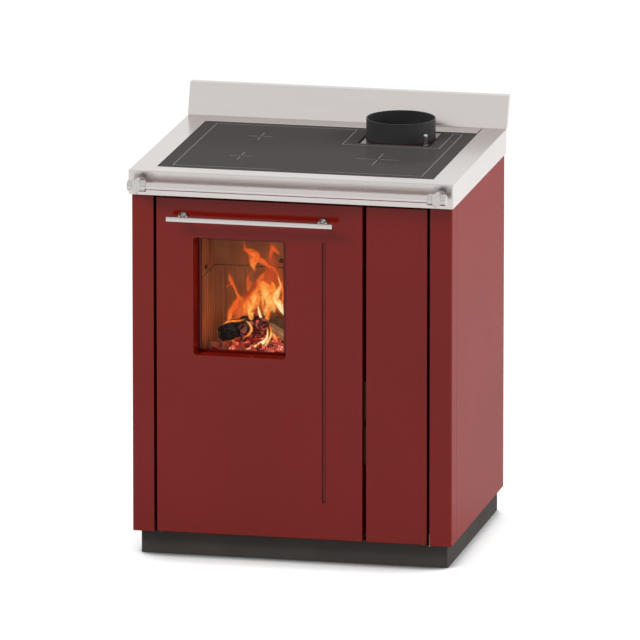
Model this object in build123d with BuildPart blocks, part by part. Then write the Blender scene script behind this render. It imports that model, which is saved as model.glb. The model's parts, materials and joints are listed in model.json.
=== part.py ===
from build123d import *
import os

# Wood-burning cookstove, in mm: +Z up, front towards -Y, centred in X, standing on z = 0.
# Depths written as face_y + number are measured back from the outer face of the doors.

# Overall sizes
worktop_width = 708
worktop_depth = 570
worktop_height = 850
apron_drop = 53
body_width = 700
fascia_overhang = 12
rail_reach = 48
splash_height = 68.5
splash_lean = 25
splash_flange = 19
sheet = 2
thin_sheet = 1.5

# Levels
plinth_height = 51
base_thickness = 3
body_bottom = plinth_height + base_thickness
apron_bottom = worktop_height - apron_drop
door_bottom = body_bottom + 1
door_top = apron_bottom - 6
worktop_underside = worktop_height - sheet

# Planes and centre lines
overall_depth = rail_reach + worktop_depth + splash_lean + splash_flange
fascia_y = rail_reach - overall_depth / 2
back_y = fascia_y + worktop_depth
face_y = fascia_y + fascia_overhang
half_worktop = worktop_width / 2
half_body = body_width / 2

# Front layout, left to right: post, gap, main door, gap, narrow service door, gap, post
post_width = 48
post_depth = 50
post_gap = 6
door_gap = 8
main_door_width = 451
post_inner = half_body - post_width
main_left = -post_inner + post_gap
main_right = main_left + main_door_width
service_left = main_right + door_gap
service_right = post_inner - post_gap
door_depth = 20
pivot_inset = 9
pivot_depth = 10
main_pivot_x = main_left + pivot_inset
service_pivot_x = service_right - pivot_inset
pivot_y = face_y + pivot_depth
hinge_pin_radius = 4
hinge_fit = 0.06
bush_radius = 7

# Plinth and carcass
plinth_side_inset = 13
plinth_front_inset = 27
plinth_half = half_body - plinth_side_inset
plinth_front = face_y + plinth_front_inset
plinth_flange = 25
frame_front = face_y + 38
frame_back = frame_front + 6
frame_half = half_body - sheet
side_panel_depth = 16
rear_screw_heights = (90, 260, 430, 600, 770)
rear_screw_x = half_body - 9

# Window in the main door
window_left = -215
window_width = 202.5
window_bottom = 448
window_height = 258
window_corner = 7
window_x = window_left + window_width / 2
window_z = window_bottom + window_height / 2
reveal_depth = 34
reveal_side_taper = 7
reveal_bottom_taper = 3
reveal_top_taper = 5
reveal_back_width = window_width - 2 * reveal_side_taper
reveal_back_height = window_height - reveal_bottom_taper - reveal_top_taper
reveal_back_z = window_z + (reveal_bottom_taper - reveal_top_taper) / 2
glass_width = 231
glass_height = 286
glass_thickness = 4

# Inner door: the cast frame behind the skin
inner_left = main_left + 17
inner_right = main_right - 16
inner_bottom = 246
inner_top = door_top - 12
inner_width = inner_right - inner_left
inner_height = inner_top - inner_bottom
inner_x = (inner_left + inner_right) / 2
inner_z = (inner_bottom + inner_top) / 2
inner_door_front = face_y + door_depth
inner_door_back = inner_door_front + 16
rope_inset = 8
rope_width = 10

# Hob
hob_width = 600
hob_depth = 470
hob_front = fascia_y + 48
hob_back = hob_front + hob_depth
hob_y = (hob_front + hob_back) / 2
hob_gap = 2
glass_bottom = worktop_height - 4
notch_left = 68
notch_right = 227
notch_front = hob_back - 154
notch_x = (notch_left + notch_right) / 2
flue_y = hob_back - 76
flue_radius = 75
flue_bore = 72.2
flue_top = worktop_height + 44
knob_x = notch_right - 11
knob_y = notch_front + 9
well_half = hob_width / 2 - 2
well_front = frame_back
well_back = back_y - 14
well_floor = 772
well_top = 844

# Firebox, centred behind the window
fire_x = window_x
fire_half = 151
fire_wall = 5
fire_left = fire_x - fire_half
fire_right = fire_x + fire_half
fire_inner_left = fire_left + fire_wall
fire_inner_right = fire_right - fire_wall
fire_back = face_y + 331
fire_inner_back = fire_back - fire_wall
fire_bottom = 367
hearth_bottom = fire_bottom + fire_wall
brick_top = 402
lining_thickness = 26
lining_front = frame_back + 4
side_lining_back = fire_inner_back - lining_thickness
lining_top = 578
upper_plate_top = 742
baffle_thickness = 20
grate_y = face_y + 178
grate_half_x = 88
grate_half_y = 83

# Openings in the front frame
fire_opening_half = 131
fire_opening_low = 400
fire_opening_high = 755
ash_half = 107
ash_floor = 270
bay_left = -240
bay_right = 100
bay_low = 70
bay_high = 245

# Front rail and door handle
rail_radius = 8
rail_y = fascia_y - 35
rail_z = worktop_height - 26
bracket_x = half_worktop - 27
handle_radius = 6
handle_y = face_y - 34
handle_z = door_top - 40
handle_left = main_left + 30
handle_right = main_right - 58
handle_posts_x = (handle_left + 29, handle_right - 29)

# Combustion air control behind the narrow door
niche_left = 172
niche_right = 290
niche_back = face_y + 172
niche_top = 768
air_x = (niche_left + niche_right) / 2
air_z = 300
air_plate_front = face_y + 70
air_hole_circle = 30
air_hole_radius = 11

# Roller catch between the two doors
catch_left = 146
catch_right = 172
catch_front = face_y + 24
catch_bottom = 220
catch_top = 402
roller_x = 151
roller_y = face_y + 31
roller_z = 311
roller_radius = 6.5
roller_height = 14


def block(x0, x1, y0, y1, z0, z1, mode=Mode.ADD):
    """A rectangular block between two corners."""
    with Locations(((x0 + x1) / 2, (y0 + y1) / 2, (z0 + z1) / 2)):
        return Box(x1 - x0, y1 - y0, z1 - z0, mode=mode)


def rod_x(x0, x1, y, z, radius, mode=Mode.ADD):
    """A round rod along X."""
    with Locations(((x0 + x1) / 2, y, z)):
        return Cylinder(radius, x1 - x0, rotation=(0, 90, 0), mode=mode)


def rod_y(x, y0, y1, z, radius, mode=Mode.ADD):
    """A round rod along Y."""
    with Locations((x, (y0 + y1) / 2, z)):
        return Cylinder(radius, y1 - y0, rotation=(90, 0, 0), mode=mode)


def rod_z(x, y, z0, z1, radius, mode=Mode.ADD):
    """A round rod along Z."""
    with Locations((x, y, (z0 + z1) / 2)):
        return Cylinder(radius, z1 - z0, mode=mode)


def tray(x0, x1, y0, y1, z0, z1, wall, open_side):
    """A sheet box with one open side: its block, then the hollow."""
    block(x0, x1, y0, y1, z0, z1)
    low = [x0 + wall, y0 + wall, z0 + wall]
    high = [x1 - wall, y1 - wall, z1 - wall]
    axis = "xyz".index(open_side[1])
    if open_side[0] == "-":
        low[axis] -= wall
    else:
        high[axis] += wall
    block(low[0], high[0], low[1], high[1], low[2], high[2], mode=Mode.SUBTRACT)


def front_plane(y):
    """The plane of a front view at depth y: X to the right, Z up, normal towards the front."""
    return Plane.XZ.offset(-y)


# Plinth: folded steel ring with a flange at the top and at the floor
with BuildPart() as plinth:
    with BuildSketch():
        with Locations((0, (plinth_front + back_y) / 2)):
            Rectangle(2 * plinth_half, back_y - plinth_front)
        fillet(vertices(), radius=4)
    extrude(amount=plinth_height)
    block(-plinth_half + sheet, plinth_half - sheet, plinth_front + sheet, back_y - sheet,
          sheet, plinth_height - sheet, mode=Mode.SUBTRACT)
    block(-plinth_half + plinth_flange, plinth_half - plinth_flange,
          plinth_front + plinth_flange, back_y - plinth_flange,
          0, plinth_height, mode=Mode.SUBTRACT)

with BuildPart() as base_plate:
    block(-plinth_half - 3, plinth_half + 3, plinth_front + 1, back_y - sheet, plinth_height, body_bottom)

# Corner posts: folded front corner, outer side and a short return beside the door gap
corner_posts = {}
for side in (-1, 1):
    post_x = side * (post_inner + half_body) / 2
    with BuildPart() as post:
        with BuildSketch(Plane.XY.offset(body_bottom)):
            with Locations((post_x, face_y + post_depth / 2)):
                Rectangle(post_width, post_depth)
            fillet(vertices().sort_by_distance((side * half_body, face_y))[0], radius=6)
            with Locations((post_x, face_y + sheet + post_depth / 2)):
                Rectangle(post_width - 2 * sheet, post_depth, mode=Mode.SUBTRACT)
            fillet(vertices().sort_by_distance((side * (half_body - sheet), face_y + sheet))[0], radius=4)
            with Locations((side * (post_inner + sheet / 2), face_y + 36)):
                Rectangle(sheet, 28, mode=Mode.SUBTRACT)
        extrude(amount=worktop_underside - body_bottom)
    corner_posts[side] = post

# Side panels: trays open towards the inside, behind the posts, slotted at the back for the rear panel
side_panels = {}
for side in (-1, 1):
    near = min(side * half_body, side * (half_body - side_panel_depth))
    with BuildPart() as panel:
        tray(near, near + side_panel_depth, face_y + post_depth + 1, back_y,
             body_bottom, apron_bottom - 0.5, sheet, "-x" if side > 0 else "+x")
        fillet(panel.edges().filter_by(Axis.Z).group_by(Axis.X)[-1 if side > 0 else 0], radius=1.5)
        slot_near, slot_far = sorted((side * frame_half, side * (half_body - side_panel_depth)))
        block(slot_near, slot_far, back_y - 2 * sheet, back_y - sheet, body_bottom, apron_bottom, mode=Mode.SUBTRACT)
        for height in rear_screw_heights:
            rod_y(side * rear_screw_x, back_y - sheet, back_y, height, 1.9, mode=Mode.SUBTRACT)
    side_panels[side] = panel

# Rear panel with rows of air slots, and its screws through the side panels' returns
with BuildPart() as rear_panel:
    block(-frame_half, frame_half, back_y - 2 * sheet, back_y - sheet, body_bottom, worktop_underside)
    with BuildSketch(front_plane(back_y - 2 * sheet)):
        with Locations((0, 160)):
            with GridLocations(90, 26, 6, 5):
                SlotOverall(64, 8)
    extrude(amount=-sheet, mode=Mode.SUBTRACT)
    for side in (-1, 1):
        for height in rear_screw_heights:
            rod_y(side * rear_screw_x, back_y - 2 * sheet, back_y - sheet, height, 1.9, mode=Mode.SUBTRACT)

with BuildPart() as rear_panel_screws:
    for side in (-1, 1):
        for height in rear_screw_heights:
            rod_y(side * rear_screw_x, back_y - 3 * sheet, back_y, height, 1.9)
            rod_y(side * rear_screw_x, back_y, back_y + 2.4, height, 4)

# Front frame: the steel plate that both doors close against
with BuildPart() as front_frame:
    block(-frame_half, frame_half, frame_front, frame_back, body_bottom, well_top)
    block(fire_x - fire_opening_half, fire_x + fire_opening_half, frame_front, frame_back,
          fire_opening_low, fire_opening_high, mode=Mode.SUBTRACT)
    block(fire_x - ash_half + 3, fire_x + ash_half - 3, frame_front, frame_back,
          ash_floor + 1, fire_bottom - 1, mode=Mode.SUBTRACT)
    block(bay_left, bay_right, frame_front, frame_back, bay_low, bay_high, mode=Mode.SUBTRACT)
    block(niche_left + 4, niche_right - 4, frame_front, frame_back, 70, niche_top - 10, mode=Mode.SUBTRACT)

with BuildPart() as divider_panel:
    block(140, 142, frame_back, back_y - 2 * sheet, body_bottom, well_floor)

# Worktop: stainless sheet folded down on four sides, open over the hob and its rear strip
with BuildPart() as worktop:
    block(-half_worktop, half_worktop, fascia_y, back_y, apron_bottom, worktop_height)
    fillet(worktop.edges().filter_by(Axis.Z).group_by(Axis.Y)[0], radius=2.5)
    fillet(worktop.edges().group_by(Axis.Z)[-1].sort_by(Axis.Y)[:-1], radius=1.8)
    block(-half_worktop + sheet, half_worktop - sheet, fascia_y + sheet, back_y - sheet,
          apron_bottom + sheet, worktop_underside, mode=Mode.SUBTRACT)
    block(-half_body - 0.3, half_body + 0.3, face_y - 0.3, back_y - sheet,
          apron_bottom, apron_bottom + sheet, mode=Mode.SUBTRACT)
    block(-hob_width / 2 - hob_gap, hob_width / 2 + hob_gap, hob_front - hob_gap, back_y - sheet,
          worktop_underside, worktop_height, mode=Mode.SUBTRACT)

# Strip behind the hob: lifts off to reach the smoke chamber, with its clear gap at the right end
strip_left = -hob_width / 2 - hob_gap + 0.2
strip_right = hob_width / 2 - 0.5
strip_front = hob_back + hob_gap
with BuildPart() as worktop_rear_strip:
    block(strip_left, strip_right, strip_front, back_y - sheet - 0.5, worktop_underside, worktop_height)
    fillet(worktop_rear_strip.edges().group_by(Axis.Z)[-1].sort_by(Axis.Y)[0], radius=1.5)
    for fold_y in (strip_front, back_y - 26):
        block(strip_left + 14, strip_right - 12, fold_y, fold_y + sheet, well_top, worktop_underside)
    rod_z(notch_x, flue_y, well_top, worktop_height, flue_radius + 6, mode=Mode.SUBTRACT)

# Splashback: leaning sheet with a top flange, closed ends and a leg down behind the worktop
splash_top = worktop_height + splash_height
splash_back = back_y + splash_lean + splash_flange
lean = splash_lean / splash_height
lean_wall = thin_sheet * (1 + lean ** 2) ** 0.5
with BuildPart() as splashback:
    with BuildSketch(Plane.YZ.offset(-half_worktop)):
        with BuildLine():
            Polyline((back_y, worktop_height), (back_y + splash_lean, splash_top), (splash_back, splash_top),
                     (back_y + splash_flange - 2, worktop_height), close=True)
        make_face()
    extrude(amount=worktop_width)
    with BuildSketch(Plane.YZ.offset(-half_worktop + thin_sheet)):
        with BuildLine():
            Polyline((back_y + lean_wall - lean, worktop_height - 1),
                     (back_y + lean_wall + splash_lean - thin_sheet * lean, splash_top - thin_sheet),
                     (splash_back + 20, splash_top - thin_sheet),
                     (splash_back + 20, worktop_height - 1), close=True)
        make_face()
    extrude(amount=worktop_width - 2 * thin_sheet, mode=Mode.SUBTRACT)
    block(-half_worktop + 20, half_worktop - 20, back_y, back_y + thin_sheet, apron_bottom + 4, worktop_height + 1)

# Smoke chamber under the hob: shallow steel tray with bearers round the notch
bearer_left = (notch_left - 10, notch_left + 7)
bearer_right = (notch_right - 7, notch_right + 10)
bearer_back = (hob_back - 13, hob_back + 6)
with BuildPart() as hob_well:
    block(-well_half, well_half, well_front, well_back, well_floor, well_top)
    block(-well_half + 3, well_half - 3, well_front + 3, well_back - 3,
          well_floor + 3, well_top - 3, mode=Mode.SUBTRACT)
    block(-well_half + 16, well_half - 16, well_front + 16, well_back - 16,
          well_top - 3, well_top, mode=Mode.SUBTRACT)
    block(fire_left + 20, fire_right - 20, face_y + 60, face_y + 190,
          well_floor, well_floor + 3, mode=Mode.SUBTRACT)
    for left, right in (bearer_left, bearer_right):
        block(left, right, notch_front - 9, well_back - 3, well_top - 6, well_top)
    block(bearer_left[0], bearer_right[1], notch_front - 9, notch_front + 3, well_top - 6, well_top)
    block(-well_half + 3, bearer_left[0], bearer_back[0], bearer_back[1], well_top - 6, well_top)
    block(bearer_right[1], well_half - 3, bearer_back[0], bearer_back[1], well_top - 6, well_top)
    rod_z(knob_x, knob_y, well_floor + 3, well_floor + 10, 6)
    rod_z(knob_x, knob_y, well_floor + 5, well_floor + 10, 3.05, mode=Mode.SUBTRACT)

# Hob glass with the notch for the flue
with BuildSketch(Plane.XY.offset(glass_bottom)) as hob_outline:
    with Locations((0, hob_y)):
        Rectangle(hob_width, hob_depth)
    fillet(vertices(), radius=4)
    with Locations((notch_x, (notch_front + hob_back) / 2 + 5)):
        Rectangle(notch_right - notch_left, hob_back - notch_front + 10, mode=Mode.SUBTRACT)

with BuildPart() as hob_glass:
    extrude(hob_outline.sketch, amount=worktop_height - glass_bottom)
    fillet(hob_glass.edges().group_by(Axis.Z)[-1], radius=0.6)

# Seal: bed under the glass edge and a bead in the gap round it, wider along the right of the flue plate
plate_right = notch_right - 3.4
with BuildPart() as hob_seal:
    block(-hob_width / 2 - hob_gap, hob_width / 2 + hob_gap, hob_front - hob_gap, hob_back + hob_gap,
          well_top, worktop_height - 1)
    extrude(hob_outline.sketch, amount=worktop_height - glass_bottom, mode=Mode.SUBTRACT)
    with BuildSketch(Plane.XY.offset(well_top)):
        with Locations((0, hob_y)):
            Rectangle(hob_width - 24, hob_depth - 24)
        with Locations((notch_x, (notch_front + hob_back) / 2)):
            Rectangle(notch_right - notch_left + 20, hob_back - notch_front + 24, mode=Mode.SUBTRACT)
    extrude(amount=glass_bottom - well_top, mode=Mode.SUBTRACT)
    block(notch_left + 2, plate_right, notch_front + 2, hob_back + hob_gap,
          well_top, worktop_height, mode=Mode.SUBTRACT)

# Flue plate in the notch, with the pressed bush of the damper spindle
plate_top = well_top + 3
spindle_bore = 3.05
with BuildPart() as flue_plate:
    block(notch_left + 2, plate_right, notch_front + 2, hob_back + 1.5, well_top, plate_top)
    rod_z(notch_x, flue_y, well_top, plate_top, flue_bore, mode=Mode.SUBTRACT)
    rod_z(knob_x, knob_y, plate_top, plate_top + 1, 6)
    rod_z(knob_x, knob_y, well_top, plate_top + 1, spindle_bore, mode=Mode.SUBTRACT)

# Ring of sealant that beds the flue collar
seal_top = plate_top + 5
with BuildPart() as flue_collar_seal:
    rod_z(notch_x, flue_y, plate_top, seal_top, flue_radius + 0.8)
    rod_z(notch_x, flue_y, plate_top, seal_top, flue_bore, mode=Mode.SUBTRACT)

# Flue collar: plain steel tube on the ring
with BuildPart() as flue_collar:
    rod_z(notch_x, flue_y, seal_top, flue_top, flue_radius)
    rod_z(notch_x, flue_y, seal_top, flue_top, flue_bore, mode=Mode.SUBTRACT)
    fillet(flue_collar.edges().group_by(Axis.Z)[-1], radius=0.8)

# Damper: the knob on top turns the spindle and its blade
knob_bottom = plate_top + 1.4
spindle_top = knob_bottom + 8
blade_length = 145
blade_bottom = well_floor + 14
blade_top = well_top - 9
with BuildPart() as damper_knob:
    rod_z(knob_x, knob_y, knob_bottom, worktop_height + 25, 5)
    fillet(damper_knob.edges().group_by(Axis.Z)[-1], radius=4.4)
    rod_z(knob_x, knob_y, knob_bottom, knob_bottom + 3, 6)
    rod_z(knob_x, knob_y, knob_bottom, spindle_top, 3, mode=Mode.SUBTRACT)

with BuildPart() as damper_blade:
    rod_z(knob_x, knob_y, well_floor + 5.3, spindle_top, 3)
    rod_z(knob_x, knob_y, blade_bottom, blade_top, 5)
    block(knob_x - blade_length, knob_x, knob_y - 1.25, knob_y + 1.25, blade_bottom, blade_top)

# Firebox body: welded steel box, open to the front and to the smoke chamber
with BuildPart() as firebox_body:
    block(fire_left, fire_right, frame_back, fire_back, fire_bottom, well_floor)
    block(fire_inner_left, fire_inner_right, frame_back, fire_inner_back,
          hearth_bottom, well_floor, mode=Mode.SUBTRACT)
    block(fire_x - grate_half_x + 8, fire_x + grate_half_x - 8, grate_y - grate_half_y + 8,
          grate_y + grate_half_y - 8, fire_bottom, hearth_bottom, mode=Mode.SUBTRACT)

# Hearth bricks slope down to the grate
with BuildPart() as hearth_bricks:
    block(fire_inner_left, fire_inner_right, frame_back, fire_inner_back, hearth_bottom, brick_top)
    with BuildSketch(Plane.XY.offset(brick_top)):
        with Locations((fire_x, grate_y)):
            Rectangle(2 * grate_half_x + 40, 2 * grate_half_y + 40)
    extrude(amount=-(brick_top - hearth_bottom), taper=30, mode=Mode.SUBTRACT)

grate_slots = 9
slot_pitch = 18
with BuildPart() as fire_grate:
    block(fire_x - grate_half_x, fire_x + grate_half_x, grate_y - grate_half_y, grate_y + grate_half_y,
          hearth_bottom, hearth_bottom + 12)
    fillet(fire_grate.edges().filter_by(Axis.Z), radius=4)
    for i in range(grate_slots):
        slot_x = fire_x + (i - (grate_slots - 1) / 2) * slot_pitch
        for y0, y1 in ((grate_y - 70, grate_y - 5), (grate_y + 5, grate_y + 70)):
            block(slot_x - 4, slot_x + 4, y0, y1, hearth_bottom, hearth_bottom + 12, mode=Mode.SUBTRACT)

# Ribbed linings on three walls
rib_pitch = 22
rib_groove = 8
groove_depth = 4
side_linings = {}
for side in (-1, 1):
    wall_x = fire_inner_right if side > 0 else fire_inner_left
    inner_face_x = wall_x - side * lining_thickness
    groove_far = inner_face_x + side * groove_depth
    with BuildPart() as lining:
        block(min(wall_x, inner_face_x), max(wall_x, inner_face_x),
              lining_front, side_lining_back, brick_top, lining_top)
        for i in range(11):
            y = lining_front + 12 + i * rib_pitch
            block(min(inner_face_x, groove_far), max(inner_face_x, groove_far), y, y + rib_groove,
                  brick_top, lining_top, mode=Mode.SUBTRACT)
    side_linings[side] = lining

with BuildPart() as lining_back:
    block(fire_inner_left, fire_inner_right, side_lining_back, fire_inner_back, brick_top, lining_top)
    for i in range(10):
        x = fire_inner_left + lining_thickness + 17 + i * rib_pitch
        block(x, x + rib_groove, side_lining_back, side_lining_back + groove_depth,
              brick_top, lining_top, mode=Mode.SUBTRACT)

# Smooth plates above the linings, held by bolts
upper_thickness = 24
upper_bottom = lining_top + 2
upper_bolt_z = 594
side_bolt_y = (face_y + 90, face_y + 207)
back_bolt_x = (fire_x - 25.5, fire_x + 25.5)
with BuildPart() as upper_lining_plates:
    block(fire_inner_left, fire_inner_left + upper_thickness, lining_front,
          fire_inner_back - upper_thickness, upper_bottom, upper_plate_top)
    block(fire_inner_right - upper_thickness, fire_inner_right, lining_front,
          fire_inner_back - upper_thickness, upper_bottom, upper_plate_top)
    block(fire_inner_left, fire_inner_right, fire_inner_back - upper_thickness,
          fire_inner_back, upper_bottom, upper_plate_top)
    for y in side_bolt_y:
        rod_x(fire_inner_left, fire_inner_right, y, upper_bolt_z, 3, mode=Mode.SUBTRACT)
    for x in back_bolt_x:
        rod_y(x, fire_inner_back - upper_thickness, fire_inner_back, upper_bolt_z, 3, mode=Mode.SUBTRACT)

bolt_head = 4
with BuildPart() as lining_bolts:
    for y in side_bolt_y:
        rod_x(fire_inner_left, fire_inner_left + upper_thickness, y, upper_bolt_z, 3)
        rod_x(fire_inner_left + upper_thickness, fire_inner_left + upper_thickness + bolt_head, y, upper_bolt_z, 5)
        rod_x(fire_inner_right - upper_thickness, fire_inner_right, y, upper_bolt_z, 3)
        rod_x(fire_inner_right - upper_thickness - bolt_head, fire_inner_right - upper_thickness, y, upper_bolt_z, 5)
    for x in back_bolt_x:
        rod_y(x, fire_inner_back - upper_thickness, fire_inner_back, upper_bolt_z, 3)
        rod_y(x, fire_inner_back - upper_thickness - bolt_head, fire_inner_back - upper_thickness, upper_bolt_z, 5)

with BuildPart() as baffle_plate:
    block(fire_inner_left + 1, fire_inner_right - 1, face_y + 150, fire_inner_back - 1,
          upper_plate_top, upper_plate_top + baffle_thickness)

# Ash housing under the firebox, and the drawer in it
with BuildPart() as ash_housing:
    tray(fire_x - ash_half, fire_x + ash_half, frame_back, fire_back, ash_floor, fire_bottom, sheet, "+z")
    block(fire_x - ash_half + sheet, fire_x + ash_half - sheet, frame_back, frame_back + sheet,
          ash_floor + sheet, fire_bottom, mode=Mode.SUBTRACT)

drawer_half = ash_half - 8
drawer_front = face_y + 54
drawer_bottom = ash_floor + sheet
with BuildPart() as ash_drawer:
    tray(fire_x - drawer_half, fire_x + drawer_half, drawer_front, fire_back - 11,
         drawer_bottom, 350, thin_sheet, "+z")
    block(fire_x - drawer_half - 3, fire_x + drawer_half + 3, drawer_front - sheet, drawer_front, drawer_bottom, 362)
    block(fire_x - 32, fire_x + 32, drawer_front - 12, drawer_front - sheet, 312, 319)
    block(fire_x - 26, fire_x + 26, drawer_front - 9, drawer_front - sheet, 312, 319, mode=Mode.SUBTRACT)

with BuildPart() as log_bay_liner:
    tray(bay_left - 12, bay_right + 12, frame_back, face_y + 504, body_bottom, 256, thin_sheet, "-y")

# Insulation boards on both sides of the firebox and behind it
board = 30
with BuildPart() as insulation_boards:
    block(fire_left - board, fire_left, frame_back, fire_back, fire_bottom, 760)
    block(fire_right, fire_right + board, frame_back, fire_back, fire_bottom, 760)
    block(fire_left - board, fire_right + board, fire_back, fire_back + board, fire_bottom, 760)

# Narrow service niche with the combustion air control
with BuildPart() as service_niche:
    tray(niche_left, niche_right, frame_back, niche_back, body_bottom, niche_top, thin_sheet, "-y")

air_spindle_radius = 4
with BuildPart() as air_plate:
    block(niche_left + thin_sheet, niche_right - thin_sheet, air_plate_front, air_plate_front + 3,
          air_z - 70, air_z + 70)
    with BuildSketch(front_plane(air_plate_front)):
        with Locations((air_x, air_z)):
            Circle(air_spindle_radius + 0.05)
            with PolarLocations(air_hole_circle, 3):
                Circle(air_hole_radius)
    extrude(amount=-3, mode=Mode.SUBTRACT)

air_knob_front = air_plate_front - 20
air_spindle_front = air_knob_front + 8
with BuildPart() as air_knob:
    with BuildSketch(front_plane(air_knob_front)):
        with Locations((air_x, air_z)):
            Circle(23)
            with PolarLocations(24, 12):
                Circle(3, mode=Mode.SUBTRACT)
    extrude(amount=-14)
    rod_y(air_x, air_knob_front + 14, air_plate_front - 0.3, air_z, 9)
    rod_y(air_x, air_spindle_front, air_plate_front, air_z, air_spindle_radius, mode=Mode.SUBTRACT)
    fillet(air_knob.edges().group_by(Axis.Y)[0], radius=1)

shutter_front = air_plate_front + 3.4
with BuildPart() as air_shutter:
    with BuildSketch(front_plane(shutter_front)):
        with Locations((air_x, air_z)):
            Circle(47)
            with PolarLocations(air_hole_circle, 3):
                Circle(air_hole_radius, mode=Mode.SUBTRACT)
    extrude(amount=-2)
    rod_y(air_x, air_spindle_front, air_plate_front + 8, air_z, air_spindle_radius)

# Roller catch on the frame between the doors, with the pin that the roller turns on
with BuildPart() as catch_housing:
    block(catch_left, catch_right, catch_front, frame_front, catch_bottom, catch_top)
    fillet(catch_housing.edges().filter_by(Axis.Z).group_by(Axis.Y)[0], radius=2)
    block(catch_left, catch_left + 14, catch_front, frame_front, roller_z - roller_height / 2 - 0.3,
          roller_z + roller_height / 2 + 0.3, mode=Mode.SUBTRACT)
    rod_z(roller_x, roller_y, roller_z - 14, roller_z + 14, 2.5)

with BuildPart() as catch_roller:
    rod_z(roller_x, roller_y, roller_z - roller_height / 2, roller_z + roller_height / 2, roller_radius)
    fillet(catch_roller.edges().filter_by(GeomType.CIRCLE), radius=1.2)
    rod_z(roller_x, roller_y, roller_z - roller_height / 2, roller_z + roller_height / 2, 2.56, mode=Mode.SUBTRACT)

with BuildPart() as service_magnet:
    block(service_left - 1, niche_left + 4, face_y + door_depth + 1, frame_front, 600, 640)

# Hinge brackets: ears with riveted pins under and over each door, a leg on the post and one on the frame
ear_top = door_bottom - 1.5
ear_thickness = 2.5
ear_front = face_y + 5
upper_ear = door_top + 1.5
hinge_brackets = {}
hinge_bushes = {}
for side, pivot_x in ((-1, main_pivot_x), (1, service_pivot_x)):
    inner, outer = sorted((pivot_x - side * 6, side * post_inner))
    leg_inner, leg_outer = sorted((side * (post_inner - 1.3), side * post_inner))
    with BuildPart() as bracket:
        block(inner, outer, ear_front, plinth_front, ear_top - ear_thickness, ear_top)
        block(leg_inner, leg_outer, face_y + 4, face_y + 22, ear_top, ear_top + 25)
        block(inner, outer, ear_front, frame_front, upper_ear, upper_ear + 3.5)
        block(inner, outer, frame_front - 3, frame_front, upper_ear + 3.5, upper_ear + 38)
        rod_z(pivot_x, pivot_y, ear_top, door_bottom + 22, hinge_pin_radius)
        rod_z(pivot_x, pivot_y, door_top - 21, upper_ear, hinge_pin_radius)
    hinge_brackets[side] = bracket
    with BuildPart() as bushes:
        for low, high in ((ear_top + 0.3, door_bottom + 24), (door_top - 23, upper_ear - 0.3)):
            rod_z(pivot_x, pivot_y, low, high, bush_radius)
            rod_z(pivot_x, pivot_y, low, high, hinge_pin_radius + hinge_fit, mode=Mode.SUBTRACT)
    hinge_bushes[side] = bushes

# Main door skin: tray with the window reveal and one pressed groove, which shows as a bead behind
groove_x = 71
groove_top = 708
groove_bottom = 136
groove_width = 8.5
groove_press = 3
with BuildPart() as main_door_skin:
    tray(main_left, main_right, face_y, face_y + door_depth, door_bottom, door_top, sheet, "+y")
    fillet(main_door_skin.edges().group_by(Axis.Y)[0], radius=1.8)
    with BuildSketch(front_plane(face_y)):
        with Locations((window_x, window_z)):
            RectangleRounded(window_width + 2 * sheet, window_height + 2 * sheet, window_corner + sheet)
    with BuildSketch(front_plane(face_y + reveal_depth)):
        with Locations((window_x, reveal_back_z)):
            RectangleRounded(reveal_back_width + 2 * sheet, reveal_back_height + 2 * sheet, window_corner)
    loft()
    with BuildSketch(front_plane(face_y)):
        with Locations((window_x, window_z)):
            RectangleRounded(window_width, window_height, window_corner)
    with BuildSketch(front_plane(face_y + reveal_depth)):
        with Locations((window_x, reveal_back_z)):
            RectangleRounded(reveal_back_width, reveal_back_height, window_corner - sheet)
    loft(mode=Mode.SUBTRACT)
    with BuildSketch(front_plane(face_y + sheet / 2)):
        with Locations((groove_x, (groove_top + groove_bottom) / 2)):
            SlotOverall(groove_top - groove_bottom + 2 * sheet, groove_width + 2 * sheet, rotation=90)
    extrude(amount=-groove_press - sheet / 2)
    with BuildSketch(front_plane(face_y)):
        with Locations((groove_x, (groove_top + groove_bottom) / 2)):
            SlotOverall(groove_top - groove_bottom, groove_width, rotation=90)
    extrude(amount=-groove_press, mode=Mode.SUBTRACT)
    groove_rim = main_door_skin.edges().group_by(Axis.Y)[0].filter_by_position(
        Axis.X, groove_x - groove_width, groove_x + groove_width)
    fillet(groove_rim, radius=0.8)
    rod_z(main_pivot_x, pivot_y, door_bottom, door_bottom + sheet, bush_radius, mode=Mode.SUBTRACT)
    rod_z(main_pivot_x, pivot_y, door_top - sheet, door_top, bush_radius, mode=Mode.SUBTRACT)
    for x in handle_posts_x:
        rod_y(x, face_y, face_y + sheet, handle_z, 3, mode=Mode.SUBTRACT)

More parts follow.
